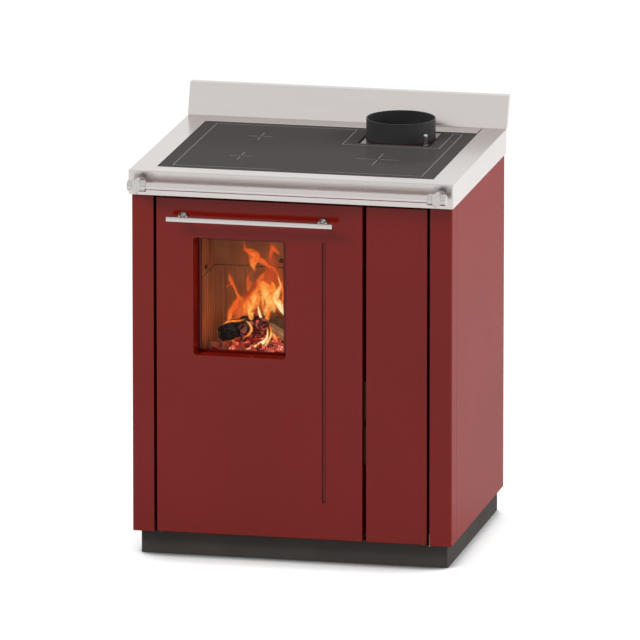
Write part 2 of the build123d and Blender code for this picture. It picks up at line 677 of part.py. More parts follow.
# Inner door frame: carries the glass and the rope seal, with the catch nose on its free edge
border = 30
retainer_screw_z = (window_z - 110, window_z, window_z + 110)
retainer_screws_x = (window_x - glass_width / 2 - 6, window_x + glass_width / 2 + 6)
with BuildPart() as inner_door_frame:
    with BuildSketch(front_plane(inner_door_front)):
        with Locations((inner_x, inner_z)):
            RectangleRounded(inner_width, inner_height, 8)
        with Locations((window_x, window_z)):
            RectangleRounded(window_width + 2, window_height + 2, window_corner + 1, mode=Mode.SUBTRACT)
    extrude(amount=inner_door_front - inner_door_back)
    with BuildSketch(front_plane(inner_door_front)):
        with Locations((inner_x, inner_z)):
            RectangleRounded(inner_width - 2 * border, inner_height - 2 * border, 8)
        with Locations((window_x, window_z)):
            RectangleRounded(window_width + border, window_height + border, 12, mode=Mode.SUBTRACT)
    extrude(amount=-10, mode=Mode.SUBTRACT)
    with BuildSketch(front_plane(inner_door_back)):
        with Locations((inner_x, inner_z)):
            RectangleRounded(inner_width - 2 * rope_inset, inner_height - 2 * rope_inset, 14)
            RectangleRounded(inner_width - 2 * rope_inset - 2 * rope_width,
                             inner_height - 2 * rope_inset - 2 * rope_width, 4, mode=Mode.SUBTRACT)
    extrude(amount=6, mode=Mode.SUBTRACT)
    with BuildSketch(front_plane(inner_door_back)):
        with Locations((window_x, window_z)):
            RectangleRounded(glass_width, glass_height, 8)
    extrude(amount=2, mode=Mode.SUBTRACT)
    for screw_x in retainer_screws_x:
        for z in retainer_screw_z:
            rod_y(screw_x, inner_door_back - 5, inner_door_back, z, 2, mode=Mode.SUBTRACT)
    block(inner_right, inner_right + 4.2, face_y + 24, face_y + 35, roller_z - 15, roller_z + 15)
    fillet(inner_door_frame.edges().filter_by(Axis.Z).group_by(Axis.X)[-1], radius=2)

with BuildPart() as door_rope_seal:
    with BuildSketch(front_plane(inner_door_back - 6)):
        with Locations((inner_x, inner_z)):
            RectangleRounded(inner_width - 2 * rope_inset, inner_height - 2 * rope_inset, 14)
            RectangleRounded(inner_width - 2 * rope_inset - 2 * rope_width,
                             inner_height - 2 * rope_inset - 2 * rope_width, 4, mode=Mode.SUBTRACT)
    extrude(amount=-7.7)

with BuildPart() as window_seal:
    with BuildSketch(front_plane(inner_door_back - 2)):
        with Locations((window_x, window_z)):
            RectangleRounded(glass_width, glass_height, 8)
        with Locations((window_x, reveal_back_z)):
            RectangleRounded(reveal_back_width - 4, reveal_back_height - 4, 4, mode=Mode.SUBTRACT)
    extrude(amount=-2)

with BuildPart() as window_glass:
    with BuildSketch(front_plane(inner_door_back)):
        with Locations((window_x, window_z)):
            RectangleRounded(glass_width, glass_height, 8)
    extrude(amount=-glass_thickness)

# Glass retainers: a strip down each side of the glass, each with three screws
retainer_back = inner_door_back + glass_thickness
with BuildPart() as glass_retainers:
    for side, screw_x in zip((-1, 1), retainer_screws_x):
        lip_low, lip_high = sorted((screw_x - side * 14, screw_x + side * 6))
        block(screw_x - 6, screw_x + 6, inner_door_back, retainer_back, window_z - 130, window_z + 130)
        block(lip_low, lip_high, retainer_back, retainer_back + sheet, window_z - 130, window_z + 130)
        for z in retainer_screw_z:
            rod_y(screw_x, inner_door_back, retainer_back + sheet, z, 2, mode=Mode.SUBTRACT)

with BuildPart() as glass_retainer_screws:
    for screw_x in retainer_screws_x:
        for z in retainer_screw_z:
            rod_y(screw_x, inner_door_back - 5, retainer_back + sheet, z, 2)
            rod_y(screw_x, retainer_back + sheet, retainer_back + sheet + 2, z, 4)

# Spacers between the skin and what hangs behind it
with BuildPart() as door_spacers:
    for x in (inner_left + 17, inner_right - 17):
        for z in (inner_bottom + 16, inner_z, inner_top - 16):
            rod_y(x, face_y + sheet, inner_door_front, z, 6)
        for z in (80, 222):
            rod_y(x, face_y + sheet, inner_door_front - sheet, z, 6)

with BuildPart() as door_lower_panel:
    block(inner_left + 3, inner_right - 3, inner_door_front - sheet, inner_door_front, 62, 240)

# Door handle: round bar on two posts with rosettes
with BuildPart() as door_handle_bar:
    rod_x(handle_left, handle_right, handle_y, handle_z, handle_radius)
    fillet(door_handle_bar.edges().filter_by(GeomType.CIRCLE), radius=1)

with BuildPart() as door_handle_posts:
    for x in handle_posts_x:
        rod_y(x, face_y - 3, face_y, handle_z, 10)
        rod_y(x, face_y - 5, face_y - 3, handle_z, 7.5)
        rod_y(x, handle_y, face_y - 5, handle_z, 4.5)
        rod_y(x, face_y, face_y + 6, handle_z, 3)
    rod_x(handle_left, handle_right, handle_y, handle_z, handle_radius, mode=Mode.SUBTRACT)

# Narrow service door, with the tab that meets the magnet
with BuildPart() as service_door_skin:
    tray(service_left, service_right, face_y, face_y + door_depth, door_bottom, door_top, sheet, "+y")
    fillet(service_door_skin.edges().group_by(Axis.Y)[0], radius=1.8)
    rod_z(service_pivot_x, pivot_y, door_bottom, door_bottom + sheet, bush_radius, mode=Mode.SUBTRACT)
    rod_z(service_pivot_x, pivot_y, door_top - sheet, door_top, bush_radius, mode=Mode.SUBTRACT)
    block(service_left + sheet, service_left + 14, face_y + 17.6, face_y + door_depth + 0.6, 604, 636)

# Front rail: tube held by two cast brackets
rail_half = bracket_x + 18
with BuildPart() as front_rail:
    rod_x(-rail_half, rail_half, rail_y, rail_z, rail_radius)
    rod_x(-rail_half, rail_half, rail_y, rail_z, rail_radius - thin_sheet, mode=Mode.SUBTRACT)

boss_half = 9.5
boss_depth = 24
boss_edge = 1.4
boss_top = rail_z + 16
boss_bottom = rail_z - 16
rail_brackets = {}
for side in (-1, 1):
    x = side * bracket_x
    with BuildPart() as rail_bracket:
        rod_x(x - boss_half - 11, x + boss_half + 11, rail_y, rail_z, 12)
        fillet(rail_bracket.edges().filter_by(GeomType.CIRCLE), radius=2.5)
        rod_y(x, fascia_y - boss_depth, fascia_y, rail_z, 7)
        rod_y(x, fascia_y - 3.5, fascia_y, rail_z, 11)
        with BuildSketch(front_plane(fascia_y - rail_reach + boss_edge)) as boss_outline:
            with BuildLine():
                Polyline((x - boss_half, boss_top - 6), (x - boss_half, boss_bottom + 8), (x, boss_bottom),
                         (x + boss_half, boss_bottom + 8), (x + boss_half, boss_top - 6))
                ThreePointArc((x + boss_half, boss_top - 6), (x, boss_top), (x - boss_half, boss_top - 6))
            make_face()
        extrude(amount=boss_depth + boss_edge - rail_reach)
        extrude(boss_outline.sketch, amount=boss_edge, taper=45)
        rod_x(-rail_half, rail_half, rail_y, rail_z, rail_radius, mode=Mode.SUBTRACT)
    rail_brackets[side] = rail_bracket

# Every piece by its name
pieces = {
    "plinth": plinth,
    "base_plate": base_plate,
    "left_corner_post": corner_posts[-1],
    "right_corner_post": corner_posts[1],
    "left_side_panel": side_panels[-1],
    "right_side_panel": side_panels[1],
    "rear_panel": rear_panel,
    "rear_panel_screws": rear_panel_screws,
    "front_frame": front_frame,
    "divider_panel": divider_panel,
    "worktop": worktop,
    "worktop_rear_strip": worktop_rear_strip,
    "splashback": splashback,
    "hob_well": hob_well,
    "hob_glass": hob_glass,
    "hob_seal": hob_seal,
    "flue_plate": flue_plate,
    "flue_collar_seal": flue_collar_seal,
    "flue_collar": flue_collar,
    "damper_knob": damper_knob,
    "damper_blade": damper_blade,
    "firebox_body": firebox_body,
    "hearth_bricks": hearth_bricks,
    "fire_grate": fire_grate,
    "lining_left": side_linings[-1],
    "lining_right": side_linings[1],
    "lining_back": lining_back,
    "upper_lining_plates": upper_lining_plates,
    "lining_bolts": lining_bolts,
    "baffle_plate": baffle_plate,
    "ash_housing": ash_housing,
    "ash_drawer": ash_drawer,
    "log_bay_liner": log_bay_liner,
    "insulation_boards": insulation_boards,
    "service_niche": service_niche,
    "air_plate": air_plate,
    "air_knob": air_knob,
    "air_shutter": air_shutter,
    "catch_housing": catch_housing,
    "catch_roller": catch_roller,
    "service_magnet": service_magnet,
    "main_hinge_brackets": hinge_brackets[-1],
    "service_hinge_brackets": hinge_brackets[1],
    "main_door_skin": main_door_skin,
    "inner_door_frame": inner_door_frame,
    "door_rope_seal": door_rope_seal,
    "window_seal": window_seal,
    "window_glass": window_glass,
    "glass_retainers": glass_retainers,
    "glass_retainer_screws": glass_retainer_screws,
    "door_spacers": door_spacers,
    "door_lower_panel": door_lower_panel,
    "main_door_bushes": hinge_bushes[-1],
    "door_handle_bar": door_handle_bar,
    "door_handle_posts": door_handle_posts,
    "service_door_skin": service_door_skin,
    "service_door_bushes": hinge_bushes[1],
    "front_rail": front_rail,
    "left_rail_bracket": rail_brackets[-1],
    "right_rail_bracket": rail_brackets[1],
}

os.makedirs("parts", exist_ok=True)
for name, piece in pieces.items():
    piece.part.label = name
    export_step(piece.part, f"parts/{name}.step")
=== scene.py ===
import json
import math
import random

import bmesh
import bpy
from mathutils import Matrix, Vector, noise


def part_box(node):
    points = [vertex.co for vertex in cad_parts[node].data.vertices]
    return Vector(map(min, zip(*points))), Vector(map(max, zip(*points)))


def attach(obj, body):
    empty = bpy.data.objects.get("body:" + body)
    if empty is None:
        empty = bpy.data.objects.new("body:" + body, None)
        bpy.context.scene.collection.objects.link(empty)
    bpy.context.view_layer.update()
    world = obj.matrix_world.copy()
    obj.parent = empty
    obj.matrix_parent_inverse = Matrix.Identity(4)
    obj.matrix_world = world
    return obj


# Looks of a wood-burning cookstove, in metres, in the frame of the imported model:
# +Z up, front towards -Y, standing on z = 0. The window's lip and the fire are laid out in mm.
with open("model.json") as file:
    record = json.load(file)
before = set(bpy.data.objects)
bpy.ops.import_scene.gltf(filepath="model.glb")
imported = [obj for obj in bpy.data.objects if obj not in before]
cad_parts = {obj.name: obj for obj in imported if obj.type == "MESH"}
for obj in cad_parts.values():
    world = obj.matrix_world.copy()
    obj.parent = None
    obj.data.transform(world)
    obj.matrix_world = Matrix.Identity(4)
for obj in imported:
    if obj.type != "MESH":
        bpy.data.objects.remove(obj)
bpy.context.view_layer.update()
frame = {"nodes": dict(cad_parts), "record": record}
nodes = frame["nodes"]
MM = 0.001

# View of the photograph: angles in degrees, and the lens and its sensor in mm
VIEW_AZIMUTH = 12.305
VIEW_ELEVATION = 13.161
VIEW_DISTANCE = 27.093
VIEW_TARGET = Vector((0.0081, -0.022, 0.479))
LENS = 707
SENSOR = 36
NEAREST_SEEN = 1
FURTHEST_SEEN = 100

# Strength of the white floor, of the world's light, and of the world as mirrors show it
FLOOR_GLOW = 0.66
WORLD_LIGHT = 0.55
MIRROR_HORIZON = 1.0
MIRROR_ZENITH = 0.85
MIRROR_FRONT = 0.72

# Nearly all of a noise pattern lies between these values
NOISE_LOW = 0.3
NOISE_HIGH = 0.7

# Cosine between a face's direction and its rounded one, where wear begins and where it is full
WEAR_BEGINS = 0.995
WEAR_FULL = 0.88
BEVEL_SAMPLES = 6


# Materials

class ShaderNodes:
    """Adds shader nodes to a tree and links them. An input is a value or a socket."""

    def __init__(self, tree):
        self.tree = tree

    def feed(self, node, inputs):
        """Sets inputs of a node to values, or links them to sockets."""
        for key, value in inputs.items():
            if isinstance(value, bpy.types.NodeSocket):
                self.tree.links.new(value, node.inputs[key])
            else:
                node.inputs[key].default_value = value

    def add(self, kind, inputs=None, **settings):
        """Adds a node, with its settings and its inputs."""
        made = self.tree.nodes.new("ShaderNode" + kind)
        for key, value in settings.items():
            setattr(made, key, value)
        self.feed(made, inputs or {})
        return made

    def math(self, operation, first, second=0.0):
        return self.add("Math", {0: first, 1: second}, operation=operation).outputs["Value"]

    def times(self, first, second):
        return self.math("MULTIPLY", first, second)

    def remap(self, value, low, high, to_low=0.0, to_high=1.0):
        return self.add("MapRange", {"Value": value, "From Min": low, "From Max": high,
                                     "To Min": to_low, "To Max": to_high}).outputs["Result"]

    def choose(self, share, first, second):
        """Mixes two numbers: the first at a share of 0, the second at 1."""
        return self.add("Mix", {0: share, 2: first, 3: second}).outputs[0]


class Finish(ShaderNodes):
    """A procedural material: a Principled shader and the nodes that drive it in object coordinates."""

    def __init__(self, name, sockets):
        self.material = bpy.data.materials.new(name)
        self.material.use_nodes = True
        super().__init__(self.material.node_tree)
        self.shader = self.tree.nodes["Principled BSDF"]
        self.output = self.tree.nodes["Material Output"]
        self.place = self.add("TexCoord").outputs["Object"]
        self.feed(self.shader, sockets)

    def along_axis(self, axis):
        """One of the object coordinates, X, Y or Z."""
        return self.add("SeparateXYZ", {0: self.place}).outputs[axis]

    def attribute(self, name):
        """A number that the mesh carries on its vertices."""
        return self.add("Attribute", attribute_name=name).outputs["Fac"]

    def noise(self, scale, detail=4.0, roughness=0.5, stretch=(1, 1, 1), distortion=0.0):
        """A noise pattern in object coordinates, stretched along each axis."""
        stretched = self.add("Mapping", {"Vector": self.place, "Scale": stretch}).outputs["Vector"]
        return self.add("TexNoise", {"Vector": stretched, "Scale": scale, "Detail": detail,
                                     "Roughness": roughness, "Distortion": distortion}).outputs["Fac"]

    def mix(self, share, first, second):
        """Mixes two colours, each a colour or a colour socket."""
        colours = [c if isinstance(c, bpy.types.NodeSocket) else (*c, 1) for c in (first, second)]
        return self.add("Mix", {0: share, 6: colours[0], 7: colours[1]}, data_type="RGBA").outputs[2]

    def ramp(self, value, *stops):
        """A colour ramp through (position, colour) stops."""
        made = self.add("ValToRGB", {"Fac": value})
        elements = made.color_ramp.elements
        elements.remove(elements[-1])
        elements[0].position = stops[0][0]
        elements[0].color = (*stops[0][1], 1)
        for position, colour in stops[1:]:
            elements.new(position).color = (*colour, 1)
        return made.outputs["Color"]

    def drift(self, pattern, first, second):
        """A colour that goes from the first to the second with a noise pattern."""
        return self.ramp(pattern, (NOISE_LOW, first), (NOISE_HIGH, second))

    def vary(self, pattern, first, second):
        """A number that goes from the first to the second with a noise pattern."""
        return self.remap(pattern, NOISE_LOW, NOISE_HIGH, first, second)

    def rounded_normal(self, radius):
        """The surface's direction, with edges rounded to a radius."""
        return self.add("Bevel", {"Radius": radius}, samples=BEVEL_SAMPLES).outputs["Normal"]

    def worn_edges(self, radius):
        """1 along convex and concave edges, 0 on the flats, within a radius."""
        rounded = self.rounded_normal(radius)
        flat = self.add("NewGeometry").outputs["Normal"]
        facing = self.add("VectorMath", {0: rounded, 1: flat}, operation="DOT_PRODUCT").outputs["Value"]
        return self.remap(facing, WEAR_BEGINS, WEAR_FULL)

    def patchy_edges(self, radius, pattern, low, high, least, most):
        """worn_edges, made weaker where a pattern is low and stronger where it is high."""
        return self.times(self.worn_edges(radius), self.remap(pattern, low, high, least, most))

    def bump(self, height, depth, radius=0.0):
        """Raises the surface by height times depth, on edges rounded within a radius."""
        inputs = {"Height": height, "Distance": depth, "Strength": 1.0}
        if radius:
            inputs["Normal"] = self.rounded_normal(radius)
        self.feed(self.shader, {"Normal": self.add("Bump", inputs).outputs["Normal"]})

    def paint(self, colour, roughness=None):
        """Sets the colour and the roughness, and gives the material."""
        self.feed(self.shader, {"Base Color": colour})
        if roughness is not None:
            self.feed(self.shader, {"Roughness": roughness})
        return self.material

    def show(self, shader):
        """Shows a shader node instead of the Principled shader, and gives the material."""
        self.feed(self.output, {"Surface": shader.outputs[0]})
        return self.material


def red_enamel():
    """Glossy red coat: slight drift of tone, fine orange peel, darker on the edges, and painted shade in
    grooves, gaps and recesses.
    """
    look = Finish("red_enamel_coat", {"Specular IOR Level": 0.0, "Coat Weight": 0.24, "Coat IOR": 1.8,
                                      "Coat Roughness": 0.09})
    tone = look.drift(look.noise(3.2, 3), (0.184, 0.0068, 0.0032), (0.204, 0.0082, 0.004))
    edge = look.patchy_edges(1.6 * MM, look.noise(140, 5), 0.3, 0.7, 0.25, 0.85)
    worn = look.mix(edge, tone, (0.085, 0.002, 0.003))
    # Painted shade: ambient occlusion darkens the base colour to dark red in grooves, gaps and recesses.
    painted_shade_openness = look.add("AmbientOcclusion", {"Distance": 9 * MM}, samples=8).outputs["AO"]
    colour = look.mix(look.remap(painted_shade_openness, 0.95, 0.6, 0.0, 0.85), worn, (0.06, 0.0, 0.0))
    look.bump(look.noise(950, 2), 0.008 * MM, 0.9 * MM)
    return look.paint(colour, look.vary(look.noise(26, 5), 0.42, 0.55))


def plinth_paint():
    """Matt dark grey paint with a trace of dust towards the floor and scuffed edges."""
    look = Finish("plinth_matt_paint", {"Specular IOR Level": 0.0})
    near_floor = look.remap(look.along_axis("Z"), 0.012, 0.0)
    dust = look.times(near_floor, look.remap(look.noise(70, 6), 0.35, 0.7, 0.0, 0.3))
    tone = look.drift(look.noise(14, 4), (0.071, 0.064, 0.06), (0.082, 0.075, 0.07))
    dusty = look.mix(dust, tone, (0.1, 0.095, 0.088))
    edge = look.patchy_edges(1.5 * MM, look.noise(160, 5), 0.4, 0.65, 0.0, 0.35)
    look.bump(look.noise(700, 3), 0.03 * MM, 0.8 * MM)
    return look.paint(look.mix(edge, dusty, (0.11, 0.105, 0.1)), look.vary(look.noise(40), 0.55, 0.68))


def black_steel():
    """Heat-proof black paint on sheet steel, dull, with a fine grain and greyed edges."""
    look = Finish("black_stove_paint", {"Specular IOR Level": 0.35})
    tone = look.drift(look.noise(18, 5), (0.017, 0.017, 0.018), (0.027, 0.027, 0.028))
    edge = look.patchy_edges(1.2 * MM, look.noise(180, 5), 0.35, 0.7, 0.2, 0.9)
    look.bump(look.noise(1100, 3), 0.03 * MM, 0.6 * MM)
    return look.paint(look.mix(edge, tone, (0.085, 0.083, 0.08)), look.vary(look.noise(55), 0.5, 0.66))


def steel_sheet(name, dark, light, rubbed, roughness):
    """Steel sheet with a very fine brush along X that draws reflections out, and faint wipe marks."""
    look = Finish(name, {"Metallic": 1.0, "Anisotropic": 0.1})
    brushed = look.add("Tangent", direction_type="RADIAL", axis="X").outputs[0]
    look.feed(look.shader, {"Tangent": brushed})
    streaks = look.noise(1.0, 3, 0.6, (9, 1500, 1500))
    wipes = look.noise(5, 4, 0.55, (1, 2.5, 2.5), 0.6)
    tone = look.drift(streaks, dark, light)
    edge = look.patchy_edges(1.2 * MM, look.noise(120, 4), 0.35, 0.7, 0.2, 0.7)
    fine = look.vary(streaks, roughness, roughness + 0.03)
    wiped = look.remap(wipes, 0.4, 0.7, 0.0, 0.03)
    look.bump(streaks, 0.001 * MM, 1.0 * MM)
    return look.paint(look.mix(edge, tone, rubbed), look.math("ADD", fine, wiped))


def zinc_steel():
    """Galvanised sheet with soft spangle."""
    look = Finish("zinc_spangle", {"Metallic": 0.9})
    spangle = look.add("TexVoronoi", {"Vector": look.place, "Scale": 140.0}).outputs["Color"]
    grain = look.add("SeparateColor", {0: spangle}).outputs[0]
    tone = look.ramp(grain, (0.0, (0.48, 0.485, 0.49)), (1.0, (0.58, 0.585, 0.59)))
    look.bump(look.noise(420, 3), 0.02 * MM, 0.6 * MM)
    edge = look.times(look.worn_edges(1.0 * MM), 0.4)
    return look.paint(look.mix(edge, tone, (0.7, 0.7, 0.7)), look.remap(grain, 0, 1, 0.34, 0.44))


def chrome():
    """Polished chrome with faint finger marks."""
    look = Finish("chrome_polished", {"Metallic": 1.0})
    marks = look.noise(90, 5, 0.6)
    tone = look.drift(marks, (0.5, 0.48, 0.47), (0.58, 0.56, 0.55))
    look.bump(look.noise(600, 2), 0.003 * MM, 0.5 * MM)
    edge = look.times(look.worn_edges(0.6 * MM), 0.4)
    return look.paint(look.mix(edge, tone, (0.8, 0.79, 0.78)), look.remap(marks, 0.4, 0.75, 0.07, 0.15))


def cast_bright():
    """Bead-blasted bright casting: soft sparkle, paler on the rubbed edges."""
    look = Finish("bright_casting", {"Metallic": 1.0})
    grain = look.noise(1300, 4, 0.6)
    tone = look.drift(grain, (0.53, 0.51, 0.5), (0.63, 0.61, 0.6))
    look.bump(grain, 0.015 * MM, 0.8 * MM)
    edge = look.patchy_edges(1.0 * MM, look.noise(200, 4), 0.35, 0.7, 0.1, 0.6)
    return look.paint(look.mix(edge, tone, (0.78, 0.77, 0.76)), look.vary(grain, 0.13, 0.2))


def hinge_steel():
    """Black painted brackets. The lowest leaf on the right is bare zinc."""
    bare_leaf_from = 0.3004
    bare_leaf_top = 0.085
    look = Finish("hinge_painted_steel", {"Specular IOR Level": 0.3})
    outer = look.math("GREATER_THAN", look.along_axis("X"), bare_leaf_from)
    low = look.math("LESS_THAN", look.along_axis("Z"), bare_leaf_top)
    bare = look.times(outer, low)
    grain = look.noise(300, 5, 0.6)
    paint = look.drift(grain, (0.012, 0.011, 0.011), (0.02, 0.019, 0.019))
    zinc = look.drift(grain, (0.5, 0.49, 0.48), (0.66, 0.65, 0.64))
    edge = look.times(look.worn_edges(0.8 * MM), 0.3)
    look.bump(grain, 0.02 * MM, 0.5 * MM)
    look.feed(look.shader, {"Metallic": bare})
    tone = look.mix(edge, look.mix(bare, paint, zinc), (0.12, 0.118, 0.115))
    return look.paint(tone, look.vary(grain, 0.35, 0.5))


def cast_iron():
    """Sand-cast iron: coarse skin, pits and rubbed edges."""
    look = Finish("cast_iron_skin", {"Metallic": 0.35, "Specular IOR Level": 0.4})
    skin = look.noise(330, 6, 0.65)
    tone = look.drift(look.noise(24, 5), (0.024, 0.023, 0.023), (0.045, 0.042, 0.04))
    edge = look.patchy_edges(1.8 * MM, skin, 0.35, 0.6, 0.1, 0.8)
    look.bump(skin, 0.22 * MM, 0.9 * MM)
    return look.paint(look.mix(edge, tone, (0.12, 0.115, 0.11)), look.vary(skin, 0.55, 0.75))


def hob_glass():
    """Dark glass-ceramic with a fine speckle and soft rubbed patches."""
    look = Finish("hob_glass_ceramic", {"Specular IOR Level": 0.0, "Coat Weight": 0.05,
                                        "Coat Roughness": 0.1})
    speckle = look.remap(look.noise(2600, 2, 0.7), 0.5, 0.7)
    tone = look.mix(speckle, (0.074, 0.067, 0.066), (0.089, 0.081, 0.079))
    look.bump(look.noise(1400, 2), 0.002 * MM, 0.5 * MM)
    edge = look.times(look.worn_edges(0.7 * MM), 0.5)
    patches = look.remap(look.noise(9, 5, 0.6), 0.35, 0.7, 0.35, 0.5)
    return look.paint(look.mix(edge, tone, (0.12, 0.115, 0.112)), patches)


def window_glass():
    """Clear heat-proof glass with a brown soot haze round its rim. Lamps shine through it."""
    look = Finish("window_clear_glass", {"Transmission Weight": 1.0, "IOR": 1.12})
    low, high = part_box("window_glass")
    middle = (low + high) / 2
    reach = (high - low) / 2
    centred = look.add("VectorMath", {0: look.place, 1: middle}, operation="SUBTRACT").outputs["Vector"]
    parts = look.add("SeparateXYZ", {0: centred})
    across = look.math("DIVIDE", look.math("ABSOLUTE", parts.outputs["X"]), reach.x)
    upright = look.math("DIVIDE", look.math("ABSOLUTE", parts.outputs["Z"]), reach.z)
    rim = look.remap(look.math("MAXIMUM", across, upright), 0.84, 1.0)
    haze = look.times(rim, look.vary(look.noise(35, 5, 0.6), 0.3, 1.0))
    tint = look.mix(haze, (0.97, 0.955, 0.93), (0.45, 0.33, 0.2))
    look.paint(tint, look.remap(haze, 0, 1, 0.0, 0.12))
    clear = look.add("BsdfTransparent", {"Color": (0.95, 0.93, 0.9, 1)})
    shadow_ray = look.add("LightPath").outputs["Is Shadow Ray"]
    return look.show(look.add("MixShader", {0: shadow_ray, 1: look.shader.outputs[0], 2: clear.outputs[0]}))


def fire_lining():
    """Pale fire brick, stained brown by heat and black by soot higher up, with a crumbly skin."""
    soot_from = 0.56
    soot_full = 0.76
    look = Finish("fire_brick_stained", {"Specular IOR Level": 0.15})
    grit = look.noise(240, 6, 0.65)
    stain = look.noise(11, 5, 0.6, (1, 1, 0.45))
    tone = look.ramp(stain, (0.25, (0.15, 0.095, 0.05)), (0.5, (0.3, 0.2, 0.11)), (0.75, (0.4, 0.28, 0.165)))
    rising = look.remap(look.along_axis("Z"), soot_from, soot_full)
    soot = look.times(rising, look.vary(look.noise(16, 5), 0.25, 0.8))
    sooted = look.mix(soot, tone, (0.07, 0.05, 0.04))
    edge = look.patchy_edges(2.5 * MM, grit, 0.4, 0.6, 0.1, 0.6)
    look.bump(grit, 0.35 * MM, 1.2 * MM)
    return look.paint(look.mix(edge, sooted, (0.56, 0.46, 0.35)), look.vary(grit, 0.75, 0.95))


def rope_seal():
    """Twisted glass-fibre rope."""
    look = Finish("rope_seal_twist", {"Specular IOR Level": 0.2, "Sheen Weight": 0.3})
    twist = look.add("TexWave", {"Vector": look.place, "Scale": 130.0, "Distortion": 2.0, "Detail": 2.0},
                     bands_direction="DIAGONAL").outputs["Fac"]
    fibres = look.noise(900, 4, 0.7)
    tone = look.mix(twist, (0.012, 0.012, 0.012), (0.06, 0.058, 0.055))
    look.bump(look.math("ADD", twist, look.times(fibres, 0.4)), 0.5 * MM, 1.0 * MM)
    edge = look.times(look.worn_edges(1.5 * MM), 0.4)
    return look.paint(look.mix(edge, tone, (0.1, 0.095, 0.09)), look.vary(fibres, 0.75, 0.95))


def sealant(name, dark, light, rubbed):
    """Heat-proof sealant, slightly lumpy."""
    look = Finish(name, {"Specular IOR Level": 0.12})
    lumps = look.noise(130, 4)
    tone = look.drift(lumps, dark, light)
    look.bump(lumps, 0.25 * MM, 0.6 * MM)
    edge = look.times(look.worn_edges(0.8 * MM), 0.5)
    return look.paint(look.mix(edge, tone, rubbed), look.vary(lumps, 0.5, 0.7))


def insulation():
    """Pale mineral fibre board."""
    look = Finish("fibre_board", {"Specular IOR Level": 0.1, "Sheen Weight": 0.2})
    fibres = look.noise(220, 6, 0.7, (1, 1, 0.3))
    tone = look.drift(fibres, (0.4, 0.38, 0.32), (0.62, 0.6, 0.53))
    look.bump(fibres, 0.6 * MM, 1.0 * MM)
    edge = look.times(look.worn_edges(3 * MM), 0.5)
    return look.paint(look.mix(edge, tone, (0.35, 0.32, 0.27)), look.vary(fibres, 0.8, 1.0))


def bush_brass():
    """Turned brass, oiled and dark, with fine rings and dull patches."""
    look = Finish("brass_turned", {"Metallic": 1.0})
    rings = look.noise(1.0, 3, 0.6, (60, 60, 2500))
    tone = look.drift(look.noise(60, 4), (0.1, 0.07, 0.035), (0.16, 0.115, 0.06))
    look.bump(rings, 0.01 * MM, 0.4 * MM)
    edge = look.times(look.worn_edges(0.6 * MM), 0.5)
    return look.paint(look.mix(edge, tone, (0.22, 0.17, 0.1)), look.vary(rings, 0.25, 0.4))


def moulded_plastic(name, dark, light, rubbed):
    """Moulded plastic with a spark-eroded grain and rubbed edges."""
    look = Finish(name, {"Specular IOR Level": 0.4})
    grain = look.noise(900, 4, 0.6)
    tone = look.drift(look.noise(30, 4), dark, light)
    look.bump(grain, 0.04 * MM, 0.7 * MM)
    edge = look.patchy_edges(1 * MM, grain, 0.4, 0.6, 0.1, 0.5)
    return look.paint(look.mix(edge, tone, rubbed), look.vary(grain, 0.42, 0.6))


# Materials by slot. The colours of a call are its dark tone, its light tone and its rubbed edges
finishes = {
    "red_enamel": red_enamel(),
    "plinth_paint": plinth_paint(),
    "black_steel": black_steel(),
    "stainless": steel_sheet(
        "stainless_brushed", (0.66, 0.615, 0.598), (0.69, 0.645, 0.628), (0.78, 0.745, 0.73), 0.19),
    "dull_steel": steel_sheet(
        "steel_heat_dulled", (0.26, 0.245, 0.24), (0.32, 0.3, 0.295), (0.4, 0.38, 0.37), 0.24),
    "zinc_steel": zinc_steel(),
    "chrome": chrome(),
    "cast_bright": cast_bright(),
    "cast_iron": cast_iron(),
    "hinge_steel": hinge_steel(),
    "hob_glass": hob_glass(),
    "window_glass": window_glass(),
    "fire_lining": fire_lining(),
    "rope_seal": rope_seal(),
    "red_seal": sealant("red_sealant", (0.026, 0.011, 0.012), (0.04, 0.015, 0.016), (0.06, 0.024, 0.024)),
    "black_seal": sealant("black_sealant", (0.006, 0.001, 0.001), (0.012, 0.003, 0.003), (0.03, 0.01, 0.01)),
    "insulation": insulation(),
    "bush_brass": bush_brass(),
    "brown_plastic": moulded_plastic(
        "brown_moulding", (0.16, 0.045, 0.022), (0.22, 0.065, 0.035), (0.25, 0.09, 0.06)),
    "black_plastic": moulded_plastic(
        "black_moulding", (0.008, 0.008, 0.008), (0.013, 0.013, 0.013), (0.03, 0.03, 0.03)),
}
slot_of = {part["node"]: part["material_slot"] for part in frame["record"]["subparts"]}
for name, node in nodes.items():
    node.material_slots[0].material = finishes[slot_of[name]]


# Objects and meshes

def scene_object(name, data):
    """Makes an object of a mesh, lamp or camera and puts it in the scene."""
    made = bpy.data.objects.new(name, data)
    bpy.context.scene.collection.objects.link(made)
    return made


def mesh_piece(name, mesh, material, body, smooth=True):
    """Makes a piece of a finished bmesh, which rides on a body."""
    data = bpy.data.meshes.new(name)
    mesh.normal_update()
    mesh.to_mesh(data)
    mesh.free()
    data.materials.append(material)
    for face in data.polygons:
        face.use_smooth = smooth
    piece = scene_object(name, data)
    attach(piece, body)
    return piece


def bridge(mesh, rows, closed=False):
    """Faces between each row of vertices and the next. A closed row goes on from its end to its start."""
    for row, next_row in zip(rows, rows[1:]):
        for i in range(len(row) if closed else len(row) - 1):
            j = (i + 1) % len(row)
            mesh.faces.new((row[i], row[j], next_row[j], next_row[i]))


def vertex_layers(mesh, *names):
    """Makes float layers on the vertices and gives them by name."""
    for name in names:
        mesh.verts.layers.float.new(name)
    return {name: mesh.verts.layers.float[name] for name in names}


# Print on the hob: outline with a gap at the front, and a cross at each cooking zone
PRINT_WIDTH = 1.5 * MM
PRINT_HEIGHT = 0.12 * MM
PRINT_SIDE_MARGIN = 0.028
PRINT_END_MARGIN = 0.022
FRONT_GAP = 0.045
CROSS_GAP = 0.006
LEAST_MITRE_COSINE = 0.3

